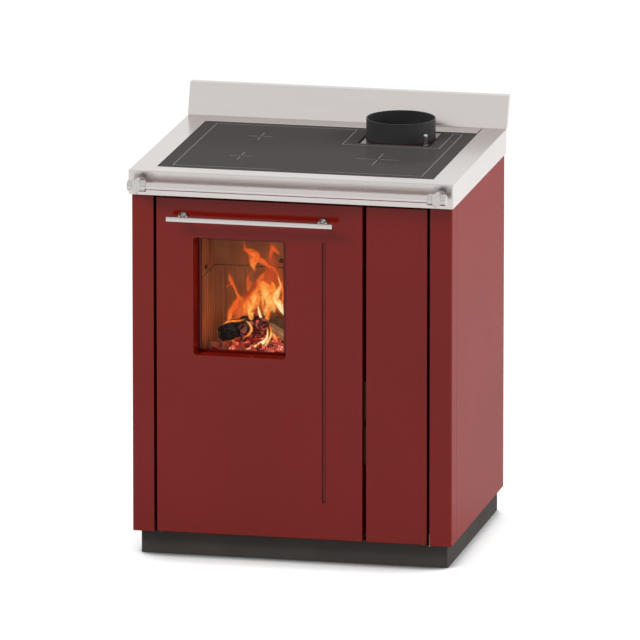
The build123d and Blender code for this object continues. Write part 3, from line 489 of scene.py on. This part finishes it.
# The outline steps round the flue
FLUE_LEFT = 0.039
FLUE_RIGHT = 0.252
FLUE_FRONT = 0.062

# Middle of each zone, and how far its cross reaches in X and in Y
COOKING_ZONES = (
    ((-0.1495, 0.103), 0.026, 0.036),
    ((-0.1495, -0.096), 0.026, 0.036),
    ((0.145, -0.069), 0.046, 0.059),
)


def print_ink():
    """Thin grey ink, slightly uneven."""
    look = Finish("hob_print_ink", {"Specular IOR Level": 0.3})
    tone = look.ramp(look.noise(900, 3), (0.35, (0.2, 0.195, 0.19)), (0.65, (0.3, 0.295, 0.29)))
    look.bump(look.noise(1500, 2), 0.005 * MM)
    return look.paint(tone, look.vary(look.noise(300), 0.4, 0.6))


def printed_line(mesh, points, bottom):
    """A flat line of steady width through points in the XY plane, with mitred corners."""
    points = [Vector(p) for p in points]
    top = bottom + PRINT_HEIGHT
    rings = []
    for i, point in enumerate(points):
        along_in = (point - points[i - 1] if i else points[1] - point).normalized()
        along_out = (points[i + 1] - point).normalized() if i < len(points) - 1 else along_in
        across = Vector((-along_in.y - along_out.y, along_in.x + along_out.x)).normalized()
        straight = Vector((-along_in.y, along_in.x))
        reach = across * PRINT_WIDTH / 2 / max(LEAST_MITRE_COSINE, across.dot(straight))
        left, right = point + reach, point - reach
        rings.append([mesh.verts.new((*corner, z)) for corner, z in (
            (left, bottom), (right, bottom), (right, top), (left, top))])
    bridge(mesh, rings, closed=True)
    mesh.faces.new(rings[0])
    mesh.faces.new(rings[-1][::-1])


hob_low, hob_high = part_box("hob_glass")
print_half = hob_high.x - PRINT_SIDE_MARGIN
print_front = hob_low.y + PRINT_END_MARGIN
print_back = hob_high.y - PRINT_END_MARGIN
outline = ((FRONT_GAP, print_front), (print_half, print_front), (print_half, print_back),
           (FLUE_RIGHT, print_back), (FLUE_RIGHT, FLUE_FRONT), (FLUE_LEFT, FLUE_FRONT),
           (FLUE_LEFT, print_back), (-print_half, print_back), (-print_half, print_front),
           (-FRONT_GAP, print_front))
hob_print = bmesh.new()
printed_line(hob_print, outline, hob_high.z)
for (x, y), half_x, half_y in COOKING_ZONES:
    for sign in (-1, 1):
        printed_line(hob_print, ((x + sign * CROSS_GAP, y), (x + sign * half_x, y)), hob_high.z)
        printed_line(hob_print, ((x, y + sign * CROSS_GAP), (x, y + sign * half_y)), hob_high.z)
bmesh.ops.recalc_face_normals(hob_print, faces=hob_print.faces)
mesh_piece("hob_print", hob_print, print_ink(), "stove_body", smooth=False)

# Lip of the window: narrow flat ring at the back of the window reveal, in mm
LIP_CENTRE = (-113.75, 576)
LIP_SETBACK = 29.5
LIP_DEPTH = 4
LIP_BEVEL = 0.8
CORNER_STEPS = 8

# Width, height and corner radius of each edge of the ring
LIP_OUTSIDE = (189, 250.5, 6)
LIP_INSIDE = (180.5, 242.8, 4)
LIP_THROAT = (179.5, 241.8, 3.6)


def rounded_loop(mesh, centre, width, height, corner, y):
    """Vertices round a rounded rectangle that faces -Y, in mm."""
    loop = []
    for quarter, (side, up) in enumerate(((1, 1), (-1, 1), (-1, -1), (1, -1))):
        for step in range(CORNER_STEPS + 1):
            angle = (quarter + step / CORNER_STEPS) * math.pi / 2
            x = centre[0] + side * (width / 2 - corner) + corner * math.cos(angle)
            z = centre[1] + up * (height / 2 - corner) + corner * math.sin(angle)
            loop.append(mesh.verts.new((x * MM, y * MM, z * MM)))
    return loop


lip_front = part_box("main_door_skin")[0].y / MM + LIP_SETBACK
lip_mesh = bmesh.new()
lip_loops = [rounded_loop(lip_mesh, LIP_CENTRE, *size, lip_front + depth) for size, depth in (
    (LIP_OUTSIDE, LIP_DEPTH), (LIP_OUTSIDE, 0), (LIP_INSIDE, 0),
    (LIP_THROAT, LIP_BEVEL), (LIP_THROAT, LIP_DEPTH))]
bridge(lip_mesh, lip_loops + lip_loops[:1], closed=True)
bmesh.ops.recalc_face_normals(lip_mesh, faces=lip_mesh.faces)
mesh_piece("window_lip", lip_mesh, finishes["red_enamel"], "main_door", smooth=False)


# Fire: ash, embers, three burning logs and the flames, in mm

def glowing_coal():
    """Charcoal cracked into blocks, grey with ash, glowing where the glow attribute says."""
    look = Finish("glowing_charcoal", {"Specular IOR Level": 0.1})
    grit = look.noise(420, 5, 0.65)
    warp = look.add("TexNoise", {"Vector": look.place, "Scale": 90.0}).outputs["Color"]
    bent = look.add("VectorMath", {0: warp, 1: (0.012, 0.012, 0.012), 2: look.place},
                    operation="MULTIPLY_ADD").outputs["Vector"]
    blocks = look.add("TexVoronoi", {"Vector": bent, "Scale": 62.0},
                      feature="DISTANCE_TO_EDGE").outputs["Distance"]
    crack = look.times(look.remap(blocks, 0.04, 0.22, 1.0, 0.0), look.attribute("char"))
    char = look.drift(grit, (0.009, 0.006, 0.005), (0.04, 0.024, 0.018))
    dust = look.times(look.attribute("ash"), look.remap(grit, 0.3, 0.6, 0.5, 1.0))
    dusted = look.mix(dust, char, (0.36, 0.27, 0.22))
    look.bump(look.math("SUBTRACT", grit, look.times(crack, 2.0)), 0.8 * MM, 1.0 * MM)
    flicker = look.remap(look.noise(170, 4, 0.65), 0.36, 0.62, 0.15, 1.0)
    heat = look.times(look.times(look.attribute("glow"), flicker), look.remap(crack, 0, 1, 1.0, 0.3))
    colour = look.ramp(heat, (0.0, (0, 0, 0)), (0.3, (0.16, 0.008, 0.004)), (0.6, (0.62, 0.045, 0.028)),
                       (0.85, (0.95, 0.22, 0.13)), (1.0, (1.0, 0.62, 0.4)))
    look.feed(look.shader, {"Emission Color": colour, "Emission Strength": 1.0})
    return look.paint(look.mix(crack, dusted, (0.004, 0.003, 0.003)), look.vary(grit, 0.75, 0.95))


def burning_wood():
    """Split log: charred and crazed on top, brown grain with drying cracks on the split faces."""
    look = Finish("burning_wood", {"Specular IOR Level": 0.15})
    along = look.add("Attribute", attribute_name="grain", attribute_type="GEOMETRY").outputs["Vector"]
    stretched = look.add("Mapping", {"Vector": along, "Scale": (14, 190, 190)}).outputs["Vector"]
    grain = look.add("TexNoise", {"Vector": stretched, "Scale": 1.0, "Detail": 4.0,
                                  "Distortion": 0.4}).outputs["Fac"]
    wood = look.ramp(grain, (0.3, (0.12, 0.045, 0.016)), (0.5, (0.42, 0.2, 0.085)), (0.7, (0.62, 0.36, 0.18)))
    crazed = look.add("TexVoronoi", {"Vector": look.place, "Scale": 150.0},
                      feature="DISTANCE_TO_EDGE").outputs["Distance"]
    black = look.drift(look.noise(300, 4), (0.03, 0.015, 0.008), (0.16, 0.07, 0.03))
    uneven = look.times(look.math("SUBTRACT", grain, 0.5), 0.9)
    ragged = look.remap(look.math("ADD", look.attribute("char"), uneven), 0.35, 0.6)
    height = look.math("ADD", grain, look.times(look.remap(crazed, 0.0, 0.15), ragged))
    look.bump(height, 0.7 * MM, 1.0 * MM)
    return look.paint(look.mix(ragged, wood, black), look.vary(grain, 0.7, 0.95))


def wood_ash():
    """Loose wood ash with charcoal crumbs."""
    look = Finish("wood_ash", {"Specular IOR Level": 0.05})
    crumbs = look.noise(260, 5, 0.7)
    tone = look.ramp(crumbs, (0.35, (0.02, 0.015, 0.013)), (0.5, (0.16, 0.12, 0.1)),
                     (0.75, (0.4, 0.34, 0.31)))
    look.bump(crumbs, 1.6 * MM, 1.5 * MM)
    return look.paint(tone, look.vary(crumbs, 0.85, 1.0))


def flame_light():
    """Tongues of flame: streaks that follow each tongue, ragged clear edges, hotter inside."""
    look = Finish("flame_tongue", {})
    across = look.attribute("across")
    flow = look.add("CombineXYZ", {0: look.times(across, 1.5), 1: look.times(look.attribute("along"), 0.04),
                                   2: look.attribute("phase")}).outputs[0]
    streaks = look.add("TexNoise", {"Vector": flow, "Scale": 1.5, "Detail": 4.0, "Roughness": 0.6,
                                    "Distortion": 0.7}).outputs["Fac"]
    inside = look.math("SUBTRACT", 1.0, look.math("POWER", look.math("ABSOLUTE", across), 1.6))
    ragged = look.math("ADD", inside, look.times(look.math("SUBTRACT", streaks, 0.5), 2.1))
    density = look.times(look.remap(ragged, 0.15, 0.8), look.attribute("body"))
    core = look.math("ADD", look.times(ragged, 0.42), 0.49)
    colour = look.ramp(look.times(core, look.attribute("warmth")), (0.0, (0.3, 0.02, 0.004)),
                       (0.35, (0.72, 0.075, 0.012)), (0.55, (0.95, 0.15, 0.02)), (0.72, (1.0, 0.36, 0.06)),
                       (0.86, (1.0, 0.63, 0.19)), (1.0, (1.0, 0.93, 0.6)))
    light = look.add("Emission", {"Color": colour, "Strength": 1.0})
    clear = look.add("BsdfTransparent", {"Color": (1, 1, 1, 1)})
    look.tree.nodes.remove(look.shader)
    return look.show(look.add("MixShader", {0: density, 1: clear.outputs[0], 2: light.outputs[0]}))


# Heap of ash: flat in the middle, falling away to its edges
BED_CENTRE = (-110, -105)
BED_HALF = (112, 104)
BED_STEPS = (56, 52)
BED_FOOT = 404
BED_RISE = 34
BED_FLAT_SHARE = 0.62
BED_SLOPE_POWER = 1.6
BED_RIPPLE = 4
BED_RIPPLE_SPAN = 26


def bed_height(x, y):
    """Height of the heap of ash over a place."""
    towards_edge = max(abs(x - BED_CENTRE[0]) / BED_HALF[0], abs(y - BED_CENTRE[1]) / BED_HALF[1])
    slope = max(0.0, (towards_edge - BED_FLAT_SHARE) / (1 - BED_FLAT_SHARE))
    heap = BED_FOOT + BED_RISE * (1 - slope ** BED_SLOPE_POWER)
    return heap + BED_RIPPLE * noise.noise(Vector((x, y, 0)) / BED_RIPPLE_SPAN)


bed_x, bed_y = ([centre - half + 2 * half * i / steps for i in range(steps + 1)]
                for centre, half, steps in zip(BED_CENTRE, BED_HALF, BED_STEPS))
ash_mesh = bmesh.new()
ash_rows = [[ash_mesh.verts.new((x * MM, y * MM, bed_height(x, y) * MM)) for x in bed_x] for y in bed_y]
bridge(ash_mesh, ash_rows)
mesh_piece("ash_bed", ash_mesh, wood_ash(), "stove_body")

# Embers: broken charcoal on the ash, cold and grey at the left, glowing elsewhere
EMBER_COUNT = 150
EMBERS_X = (-206, -16)
EMBERS_Y = (-192, -60)
EMBER_RADII = (4.5, 12)
EMBER_GLOWS = (0.25, 0.6, 0.85, 1.0, 1.15)
COLD_FROM = -152
COLD_SPAN = 20
COLD_ENOUGH = 0.4
EMBER_ROUGHNESS = 0.5
FINE_SHARE = 0.6

# Cells per metre of the noise on an ember: its lumps, its grit and the patches of its glow
EMBER_LUMPS = 150
EMBER_GRIT = 420
EMBER_PATCHES = 160


def embers(material, seed):
    """Lumps of charcoal at random places on the ash."""
    dice = random.Random(seed)
    mesh = bmesh.new()
    layers = vertex_layers(mesh, "glow", "ash")
    for _ in range(EMBER_COUNT):
        x = dice.uniform(*EMBERS_X)
        y = dice.uniform(*EMBERS_Y)
        radius = dice.uniform(*EMBER_RADII)
        lift = dice.uniform(0.1, 0.8) * radius
        place = Vector((x, y, bed_height(x, y) + lift)) * MM
        angle = dice.uniform(0, math.tau)
        turn = Matrix.Rotation(angle, 4, Vector((dice.random(), dice.random(), 1)).normalized())
        size = Matrix.Diagonal((dice.uniform(0.9, 1.9), dice.uniform(0.6, 1.0), dice.uniform(0.45, 0.8), 1))
        made = bmesh.ops.create_icosphere(mesh, subdivisions=3, radius=radius * MM,
                                          matrix=Matrix.Translation(place) @ turn @ size)
        cold = min(1.0, max(0.0, (COLD_FROM - x) / COLD_SPAN))
        warm = dice.choice(EMBER_GLOWS) * (1 - cold) + dice.uniform(0.0, 0.35) * cold
        pale = dice.uniform(0.1, 1.0) if cold > COLD_ENOUGH else dice.uniform(0.0, 0.4)
        for vertex in made["verts"]:
            away = (vertex.co - place).normalized()
            rough = noise.noise(vertex.co * EMBER_LUMPS) + FINE_SHARE * noise.noise(vertex.co * EMBER_GRIT)
            vertex.co += away * rough * radius * EMBER_ROUGHNESS * MM
            # Painted shade: the glow is weaker on the underside of each lump, and noise varies it in patches.
            lit = 0.62 + 0.38 * away.z + 0.35 * noise.noise(vertex.co * EMBER_PATCHES)
            vertex[layers["glow"]] = max(0.0, warm * lit)
            vertex[layers["ash"]] = pale
    mesh_piece("embers", mesh, material, "stove_body")


coal = glowing_coal()
embers(coal, 11)

# Logs: rings of vertices from end to end, roughened, and cracked into blocks where they are charcoal
LOG_RINGS = 44
LOG_SIDES = 56
LOG_BOW = 2
LOG_END_BULGE = 1.5
LUMP_HEIGHT = 3.2
GRIT_HEIGHT = 1.5
CRACK_SHARE = 0.18
CRACK_DEPTH = 2.2

# Cells per metre of the noise on a log: its lumps, its grit and its blocks of charcoal
LOG_LUMPS = 60
LOG_GRIT = 170
LOG_BLOCKS = 75

# Share of the radius, squared, at the ends of a log, and how fast it grows from there
END_START = 0.25
END_GROWTH = 12


def log_piece(name, material, ends, radii, section, seed, cracks, colour_vertex):
    """A rough log between two places. section gives its radius factor round the log."""
    mesh = bmesh.new()
    grain = mesh.verts.layers.float_vector.new("grain")
    layers = vertex_layers(mesh, "glow", "ash", "char")
    start, end = (Vector(p) * MM for p in ends)
    axis = (end - start).normalized()
    side = axis.cross(Vector((0, 0, 1))).normalized()
    up = side.cross(axis)
    length = (end - start).length
    shift = Vector((seed, 0, 0))
    rows = []
    for i in range(LOG_RINGS + 1):
        share = i / LOG_RINGS
        bow = math.sin(share * math.pi) * LOG_BOW * MM
        centre = start.lerp(end, share) + up * bow
        radius = radii[0] + (radii[1] - radii[0]) * share
        rounding = min(1.0, END_GROWTH * min(share, 1 - share) + END_START) ** 0.5
        row = []
        for j in range(LOG_SIDES):
            angle = math.tau * j / LOG_SIDES
            outwards = side * math.cos(angle) + up * math.sin(angle)
            base = radius * section(angle) * rounding * MM
            at = centre + outwards * base
            lumps = noise.noise(at * LOG_LUMPS + shift) * LUMP_HEIGHT
            grit = noise.noise(at * LOG_GRIT) * GRIT_HEIGHT
            nearest = noise.voronoi(at * LOG_BLOCKS + shift)[0]
            crack = max(0.0, 1 - (nearest[1] - nearest[0]) / CRACK_SHARE) * cracks
            at += outwards * (lumps + grit - crack) * MM
            vertex = mesh.verts.new(at)
            vertex[grain] = Vector((share * length, math.cos(angle) * base, math.sin(angle) * base))
            for key, value in colour_vertex(share, angle, at / MM).items():
                vertex[layers[key]] = value
            row.append(vertex)
        rows.append(row)
    bridge(mesh, rows, closed=True)
    for row, place, along in ((rows[0], start - axis * LOG_END_BULGE * MM, 0),
                              (rows[-1], end + axis * LOG_END_BULGE * MM, length)):
        middle = mesh.verts.new(place)
        middle[grain] = Vector((along, 0, 0))
        for layer in layers.values():
            middle[layer] = row[0][layer]
        for corner, next_corner in zip(row, row[1:] + row[:1]):
            mesh.faces.new((corner, next_corner, middle))
    bmesh.ops.recalc_face_normals(mesh, faces=mesh.faces)
    mesh_piece(name, mesh, material, "stove_body")


def round_log(angle):
    """A branch, not quite round."""
    return 1 + 0.08 * math.sin(2 * angle + 0.6) + 0.05 * math.sin(5 * angle)


def split_log(angle):
    """A quarter log: two flat faces meeting at an edge, and a rounded back."""
    turned = (angle + 0.5) % math.tau
    flat = 0.62 / max(abs(math.cos(turned - 2.2)), abs(math.cos(turned - 3.9)), 0.5)
    return min(1.0, flat + 0.16)


def dead_char(share, angle, place):
    """Black charcoal with a little ash in patches."""
    return {"glow": 0.0, "ash": 0.04 + 0.35 * max(0.0, noise.noise(place / 9)), "char": 1.0}


def hot_blocks(share, angle, place):
    """Charcoal dusted with ash, which glows more along its length and is dark at its far end."""
    top = max(0.0, math.sin(angle))
    dark_end = max(0.0, (share - 0.78) / 0.22)
    warm = 0.36 + 0.5 * noise.noise(place / 16) + 0.3 * share
    dust = (0.45 - 0.35 * dark_end) * (1 - 0.3 * top)
    return {"glow": max(0.0, warm * (1 - dark_end)), "ash": max(0.0, dust), "char": 1.0}


def charred_top(share, angle, place):
    """Wood that is charred on its upper side."""
    return {"glow": 0.0, "ash": 0.1, "char": min(1.0, max(0.0, 0.25 + 1.2 * math.sin(angle)))}


log_piece("log_left", coal, ((-180, -174, 473), (-104, -128, 491)), (19, 24), round_log, 3, CRACK_DEPTH,
          dead_char)
log_piece("log_middle", coal, ((-141, -160, 476), (-84, -128, 487)), (22, 27), round_log, 8, CRACK_DEPTH,
          hot_blocks)
log_piece("log_right", burning_wood(), ((-92, -114, 501), (-8, -172, 478)), (22, 27), split_log, 5, 0,
          charred_top)

# Flames: y, warmth and body of each tongue, and its line from the root up as (x, z, width)
TONGUES = (
    (-140, 0.9, 0.96, ((-87, 508, 10), (-82, 533, 42), (-83, 556, 60), (-90, 575, 44), (-102, 589, 5))),
    (-125, 0.88, 0.9, ((-70, 514, 8), (-73, 536, 32), (-75, 556, 38), (-72, 573, 20), (-77, 588, 2))),
    (-150, 1.06, 1.0,
     ((-40, 515, 8), (-50, 530, 15), (-60, 546, 19), (-62, 560, 18), (-56, 572, 11), (-52, 584, 2))),
    (-135, 0.95, 0.95, ((-68, 543, 10), (-59, 562, 12), (-53, 576, 9), (-57, 592, 6), (-59, 608, 1))),
    (-120, 0.72, 0.8, ((-56, 529, 6), (-51, 554, 9), (-54, 573, 8), (-50, 590, 2))),
    (-150, 0.82, 0.9,
     ((-63, 460, 3), (-68, 474, 9), (-78, 487, 10), (-82, 501, 12), (-79, 518, 14), (-82, 533, 16))),
    (-165, 1.12, 1.0, ((-104, 446, 9), (-91, 454, 14), (-79, 466, 9), (-75, 480, 6), (-77, 494, 2))),
    (-160, 1.0, 0.95, ((-83, 449, 10), (-73, 465, 8), (-70, 479, 5), (-74, 492, 1))),
    (-170, 1.0, 0.9, ((-123, 441, 3), (-111, 446, 7), (-97, 451, 10), (-86, 453, 8))),
    (-155, 0.9, 0.95,
     ((-117, 487, 5), (-114, 506, 12), (-117, 522, 24), (-111, 539, 34), (-103, 560, 24), (-97, 582, 3))),
    (-135, 0.66, 0.8, ((-135, 507, 18), (-129, 528, 30), (-118, 548, 24), (-106, 568, 11), (-103, 584, 2))),
    (-140, 0.62, 0.85, ((-168, 490, 7), (-163, 511, 20), (-154, 528, 23), (-148, 542, 14), (-142, 558, 3))),
    (-120, 0.56, 0.6, ((-147, 489, 30), (-149, 510, 36), (-147, 527, 30), (-141, 538, 14), (-144, 551, 2))),
    (-168, 0.86, 0.9, ((-186, 474, 4), (-176, 487, 7), (-163, 500, 8), (-142, 503, 7), (-122, 508, 4))),
    (-125, 0.62, 0.8,
     ((-138, 535, 8), (-150, 550, 9), (-157, 565, 8), (-163, 578, 12), (-167, 590, 10), (-167, 602, 2))),
    (-125, 0.5, 0.6, ((-160, 576, 4), (-169, 572, 6), (-177, 566, 1))),
    (-176, 0.92, 0.95, ((-121, 506, 4), (-112, 499, 6), (-109, 487, 7), (-116, 475, 6), (-130, 468, 2))),
    (-160, 1.1, 1.0, ((-91, 510, 9), (-95, 523, 9), (-98, 540, 1))),
    (-125, 0.68, 0.88,
     ((-111, 603, 3), (-116, 616, 15), (-116, 627, 29), (-112, 638, 26), (-126, 647, 14), (-142, 653, 2))),
    (-120, 0.62, 0.8, ((-113, 630, 18), (-100, 627, 17), (-86, 618, 9), (-70, 607, 2))),
    (-120, 0.5, 0.7, ((-130, 645, 6), (-135, 654, 8), (-137, 667, 1))),
    (-115, 0.5, 0.7, ((-81, 628, 3), (-79, 645, 12), (-75, 655, 18), (-81, 666, 2))),
    (-115, 0.55, 0.8, ((-78, 652, 9), (-68, 648, 9), (-62, 639, 2))),
    (-120, 0.58, 0.6, ((-129, 556, 8), (-127, 575, 14), (-129, 588, 8), (-122, 600, 1))),
    (-110, 0.55, 0.7, ((-92, 616, 4), (-77, 611, 6), (-66, 600, 6), (-63, 582, 2))),
    (-120, 0.6, 0.75, ((-102, 566, 17), (-104, 581, 20), (-97, 594, 11), (-90, 603, 1))),
    (-152, 0.8, 0.9, ((-58, 460, 8), (-65, 474, 8), (-71, 486, 5), (-74, 501, 1))),
    (-100, 0.45, 0.4, ((-90, 560, 40), (-88, 580, 48), (-85, 594, 36), (-88, 606, 6))),
    (-96, 0.42, 0.3, ((-122, 478, 50), (-126, 512, 66), (-120, 548, 52), (-108, 580, 14))),
    (-92, 0.45, 0.32, ((-66, 505, 36), (-68, 545, 60), (-76, 585, 60), (-84, 618, 34), (-92, 645, 6))),
)
FLAME_ROWS = 40
FLAME_COLUMNS = 10
FLAME_SEED = 4
MOST_YAW = 0.6
MOST_SWAY = 8
PHASES = 40
THINNEST = 0.5
CUPPING = 0.25


def curve_through(points, steps):
    """Tuples on a smooth curve through the given tuples."""
    last = len(points) - 1
    made = []
    for i in range(steps + 1):
        place = i / steps * last
        k = min(int(place), last - 1)
        t = place - k
        neighbours = (points[min(max(k + d, 0), last)] for d in (-1, 0, 1, 2))
        made.append(tuple(0.5 * (2 * b + (c - a) * t + (2 * a - 5 * b + 4 * c - d) * t * t
                                 + (3 * b - a - 3 * c + d) * t ** 3)
                          for a, b, c, d in zip(*neighbours)))
    return made


def flame_tongue(mesh, layers, dice, depth, warmth, body, line):
    """A cupped ribbon along a line, turned and swayed at random."""
    points = curve_through(line, FLAME_ROWS)
    yaw = dice.uniform(-MOST_YAW, MOST_YAW)
    phase = dice.uniform(0, PHASES)
    sway = dice.uniform(-MOST_SWAY, MOST_SWAY)
    travelled = 0.0
    rows = []
    for i, (x, z, width) in enumerate(points):
        before = Vector(points[max(i - 1, 0)][:2])
        ahead = (Vector(points[min(i + 1, FLAME_ROWS)][:2]) - before).normalized()
        travelled += (Vector((x, z)) - before).length
        share = i / FLAME_ROWS
        solid = body * min(1.0, 6 * share + 0.15, 5 * (1 - share))
        row = []
        for j in range(FLAME_COLUMNS + 1):
            across = 2 * j / FLAME_COLUMNS - 1
            reach = across * max(width, THINNEST) / 2
            y = depth + sway * share + reach * math.sin(yaw) + width * CUPPING * across * across
            vertex = mesh.verts.new(Vector((x + ahead.y * reach, y, z - ahead.x * reach)) * MM)
            values = {"across": across, "along": travelled, "warmth": warmth * (1.1 - 0.3 * share),
                      "phase": phase, "body": solid}
            for key, value in values.items():
                vertex[layers[key]] = value
            row.append(vertex)
        rows.append(row)
    bridge(mesh, rows)


flame_mesh = bmesh.new()
flame_layers = vertex_layers(flame_mesh, "across", "along", "warmth", "phase", "body")
flame_dice = random.Random(FLAME_SEED)
for tongue in TONGUES:
    flame_tongue(flame_mesh, flame_layers, flame_dice, *tongue)
flames = mesh_piece("flames", flame_mesh, flame_light(), "stove_body")
flames.visible_shadow = False
flames.visible_diffuse = False


# Floor, background and light

def pale_floor():
    """Floor with the object's shadow and a painted contact shadow close to it, white to the camera elsewhere,
    and greyer in mirrors in front.
    """
    look = Finish("pale_floor", {"Roughness": 0.9, "Specular IOR Level": 0.0})
    path = look.add("LightPath")
    seen = look.math("MAXIMUM", path.outputs["Is Camera Ray"], path.outputs["Is Glossy Ray"])
    seen = look.math("MAXIMUM", seen, path.outputs["Is Transmission Ray"])
    # Painted shadow: ambient occlusion round a leaning direction dims the floor's glow near the object, most
    # in front and on the right.
    leaning = look.add("CombineXYZ", {0: -0.1, 1: 0.5, 2: 0.86}).outputs[0]
    wide, close = (look.add("AmbientOcclusion", {"Distance": distance, "Normal": leaning},
                            samples=12).outputs["AO"] for distance in (0.13, 0.05))
    lit = look.times(look.remap(wide, 0.2, 0.7), look.remap(close, 0.3, 0.75, 0.1, 1.0))
    # Painted shadow: the floor's colour darkens from pale to dark grey close to the object.
    look.paint(look.mix(look.remap(close, 0.3, 0.75, 1.0, 0.0), (0.6, 0.6, 0.6), (0.12, 0.12, 0.12)))
    depth = look.along_axis("Y")
    far_ahead = look.remap(depth, -0.6, -3.6, 0.45, 0.75)
    dimmed = look.math("MAXIMUM", far_ahead, look.remap(depth, -0.3, 0.4, 0.45, 1.0))
    mirrored = look.choose(path.outputs["Is Glossy Ray"], 1.0, dimmed)
    strength = look.times(look.times(look.times(seen, lit), mirrored), FLOOR_GLOW)
    glow = look.add("Emission", {"Color": (1, 1, 1, 1), "Strength": strength})
    return look.show(look.add("AddShader", {0: look.shader.outputs[0], 1: glow.outputs[0]}))


FLOOR_HALF = 30
floor_mesh = bmesh.new()
bmesh.ops.create_grid(floor_mesh, x_segments=1, y_segments=1, size=FLOOR_HALF)
floor_data = bpy.data.meshes.new("floor")
floor_mesh.to_mesh(floor_data)
floor_mesh.free()
floor_data.materials.append(pale_floor())
floor = scene_object("floor", floor_data)


def studio_world():
    """White to the camera and through glass; in mirrors white at the back, greyer overhead and in front."""
    world = bpy.data.worlds.new("studio")
    world.use_nodes = True
    sky = ShaderNodes(world.node_tree)
    path = sky.add("LightPath")
    towards = sky.add("SeparateXYZ", {0: sky.add("TexCoord").outputs["Generated"]})
    height = towards.outputs["Z"]
    overhead = sky.remap(height, 0.1, 1.0, MIRROR_HORIZON, MIRROR_ZENITH)
    low = sky.remap(height, 0.1, 0.42, 1.0, 0.0)
    ahead = sky.remap(towards.outputs["Y"], 0.2, -0.2)
    mirrored = sky.choose(sky.times(low, ahead), overhead, MIRROR_FRONT)
    direct = sky.math("MAXIMUM", path.outputs["Is Camera Ray"], path.outputs["Is Transmission Ray"])
    indirect = sky.choose(path.outputs["Is Glossy Ray"], WORLD_LIGHT, mirrored)
    level = sky.choose(direct, indirect, 1.0)
    sky.feed(sky.tree.nodes["Background"], {"Color": (1, 1, 1, 1), "Strength": level})
    bpy.context.scene.world = world


studio_world()


def lamp(name, kind, place, power):
    """A lamp that is seen only by what it lights, not by the camera, in mirrors or through glass."""
    light = bpy.data.lights.new(name, kind)
    light.energy = power
    made = scene_object(name, light)
    made.location = place
    made.visible_camera = False
    made.visible_glossy = False
    made.visible_transmission = False
    return made


def soft_lamp(name, place, target, size, power):
    """A square studio lamp that points at a target."""
    made = lamp(name, "AREA", place, power)
    made.data.shape = "SQUARE"
    made.data.size = size
    made.rotation_euler = (Vector(target) - Vector(place)).to_track_quat("-Z", "Y").to_euler()


def fire_lamp(name, place, radius, power, colour):
    """A glowing ball of firelight."""
    made = lamp(name, "POINT", place, power)
    made.data.shadow_soft_size = radius
    made.data.color = colour


soft_lamp("key_lamp", (-2.2, -2.6, 2.9), (0, 0, 0.5), 1.1, 75)
soft_lamp("side_lamp", (3.2, 0.4, 1.6), (0.2, 0, 0.4), 2.4, 95)
fire_lamp("fire_low", (-0.15, -0.13, 0.475), 0.03, 0.42, (1.0, 0.21, 0.04))
fire_lamp("fire_middle", (-0.09, -0.11, 0.55), 0.04, 0.36, (1.0, 0.23, 0.05))
fire_lamp("fire_high", (-0.1, -0.1, 0.65), 0.04, 0.14, (1.0, 0.33, 0.11))

# Camera
azimuth, elevation = math.radians(VIEW_AZIMUTH), math.radians(VIEW_ELEVATION)
towards_camera = Vector((math.sin(azimuth) * math.cos(elevation), -math.cos(azimuth) * math.cos(elevation),
                         math.sin(elevation)))
camera_data = bpy.data.cameras.new("camera")
camera_data.lens = LENS
camera_data.sensor_width = SENSOR
camera_data.clip_start = NEAREST_SEEN
camera_data.clip_end = FURTHEST_SEEN
camera = scene_object("camera", camera_data)
camera.location = VIEW_TARGET + towards_camera * VIEW_DISTANCE
camera.rotation_euler = (-towards_camera).to_track_quat("-Z", "Y").to_euler()
bpy.context.scene.camera = camera
bpy.context.scene.view_settings.view_transform = "Standard"
